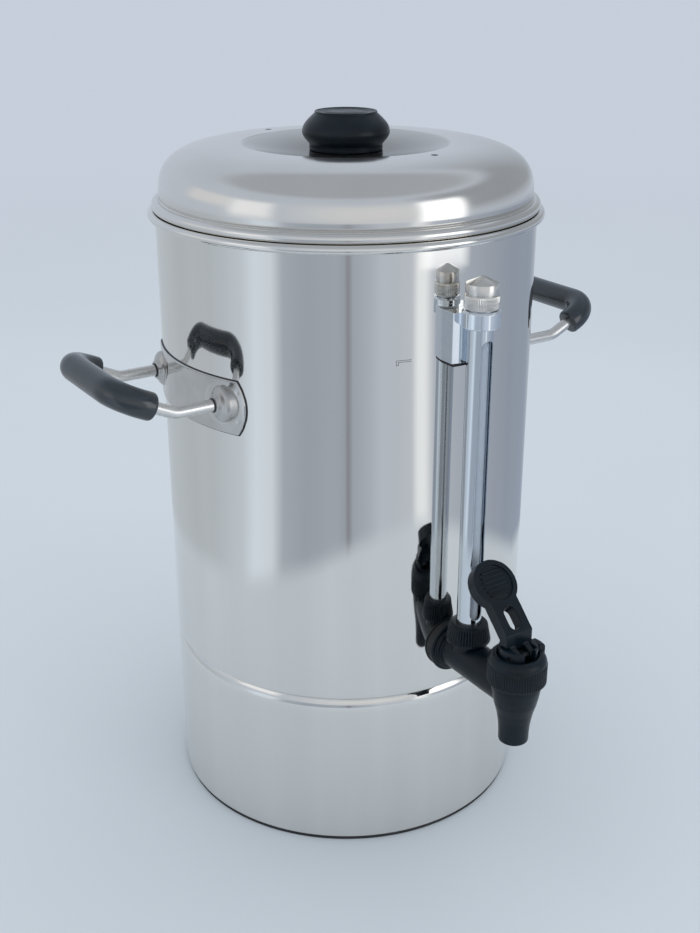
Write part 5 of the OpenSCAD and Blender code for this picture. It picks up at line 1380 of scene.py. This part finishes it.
    def hang_panel(self, name, span, far, heights, color, strength=1.0, soft=6.0):
        """A curved panel with soft edges that only reflections show."""
        steps = 24
        verts = []
        for k in range(steps + 1):
            a = math.radians(span[0] + (span[1] - span[0]) * k / steps)
            verts += [(far * math.sin(a) / MM, -far * math.cos(a) / MM, z / MM) for z in heights]
        faces = [(2 * k, 2 * k + 2, 2 * k + 3, 2 * k + 1) for k in range(steps)]
        card = mesh_object(name, verts, faces)
        chart = card.data.uv_layers.new(name="panel")
        for corner in card.data.loops:
            chart.data[corner.index].uv = (corner.vertex_index // 2 / steps, corner.vertex_index % 2)
        tree, light = self.glow(card, color)
        light.inputs["Strength"].default_value = strength
        chart_at = wire(tree, "ShaderNodeTexCoord").outputs["UV"]
        split = wire(tree, "ShaderNodeSeparateXYZ", chart_at)
        sides = []
        for side in ("X", "Y"):
            here = split.outputs[side]
            hill = combine(tree, "MULTIPLY", here, combine(tree, "SUBTRACT", 1.0, here))
            sides.append(combine(tree, "MULTIPLY", hill, soft, use_clamp=True))
        self.thin(tree, light, combine(tree, "MULTIPLY", *sides))

    def thin(self, tree, light, share):
        """Shows a card's light by a share, and what lies behind it by the rest."""
        clear = wire(tree, "ShaderNodeBsdfTransparent")
        mix = wire(tree, "ShaderNodeMixShader", share, clear.outputs[0], light.outputs[0])
        tree.links.new(mix.outputs[0], tree.nodes["out"].inputs["Surface"])

    def glow(self, card, color):
        """A card that only reflections show; returns its material's tree and light."""
        paper = bpy.data.materials.new(card.name)
        paper.use_nodes = True
        tree = paper.node_tree
        tree.nodes.clear()
        light = tree.nodes.new("ShaderNodeEmission")
        light.inputs["Color"].default_value = (*color, 1.0)
        out = tree.nodes.new("ShaderNodeOutputMaterial")
        out.name = "out"
        tree.links.new(light.outputs[0], out.inputs["Surface"])
        card.data.materials.append(paper)
        card.visible_camera = False
        card.visible_diffuse = False
        card.visible_shadow = False
        return tree, light

    def hang_lamp(self, name, place, size, power):
        lamp = bpy.data.lights.new(name, "AREA")
        lamp.shape = "RECTANGLE"
        lamp.size, lamp.size_y = size
        lamp.energy = power
        obj = bpy.data.objects.new(name, lamp)
        bpy.context.scene.collection.objects.link(obj)
        obj.location = place
        obj.rotation_mode = "QUATERNION"
        aim = Vector((0.0, 0.0, 0.22))
        obj.rotation_quaternion = (aim - Vector(place)).to_track_quat("-Z", "Y")
        obj.visible_camera = False
        obj.visible_glossy = False


class URN_PT_sidebar(bpy.types.Panel):
    """The urn's sizes, finishes and operators"""

    bl_idname = "URN_PT_sidebar"
    bl_label = "Hot Water Urn"
    bl_space_type = "VIEW_3D"
    bl_region_type = "UI"
    bl_category = "Urn"

    def draw(self, context):
        for name in GROUPS:
            settings = getattr(context.scene, name)
            box = self.layout.box()
            for key in settings.__annotations__:
                box.prop(settings, key)
        for operator in OPERATORS:
            self.layout.operator(operator.bl_idname)


GROUPS = {
    "urn_tank": TankSettings,
    "urn_lid": LidSettings,
    "urn_handle": HandleSettings,
    "urn_gauge": GaugeSettings,
    "urn_tap": TapSettings,
    "urn_finish": FinishSettings,
    "urn_stage": StageSettings,
}
OPERATORS = (URN_OT_stage, URN_OT_finishes, URN_OT_tank, URN_OT_lid, URN_OT_handles, URN_OT_gauge, URN_OT_tap)


def register():
    for name, group in GROUPS.items():
        bpy.utils.register_class(group)
        setattr(bpy.types.Scene, name, PointerProperty(type=group))
    for operator in OPERATORS:
        bpy.utils.register_class(operator)
    bpy.utils.register_class(URN_PT_sidebar)


def unregister():
    bpy.utils.unregister_class(URN_PT_sidebar)
    for operator in reversed(OPERATORS):
        bpy.utils.unregister_class(operator)
    for name, group in GROUPS.items():
        delattr(bpy.types.Scene, name)
        bpy.utils.unregister_class(group)


def main():
    register()
    bpy.ops.urn.stage()
    bpy.ops.urn.finishes()
    bpy.ops.urn.tank()
    bpy.ops.urn.lid()
    bpy.ops.urn.handles()
    bpy.ops.urn.gauge()
    bpy.ops.urn.tap()


if __name__ == "__main__":
    main()
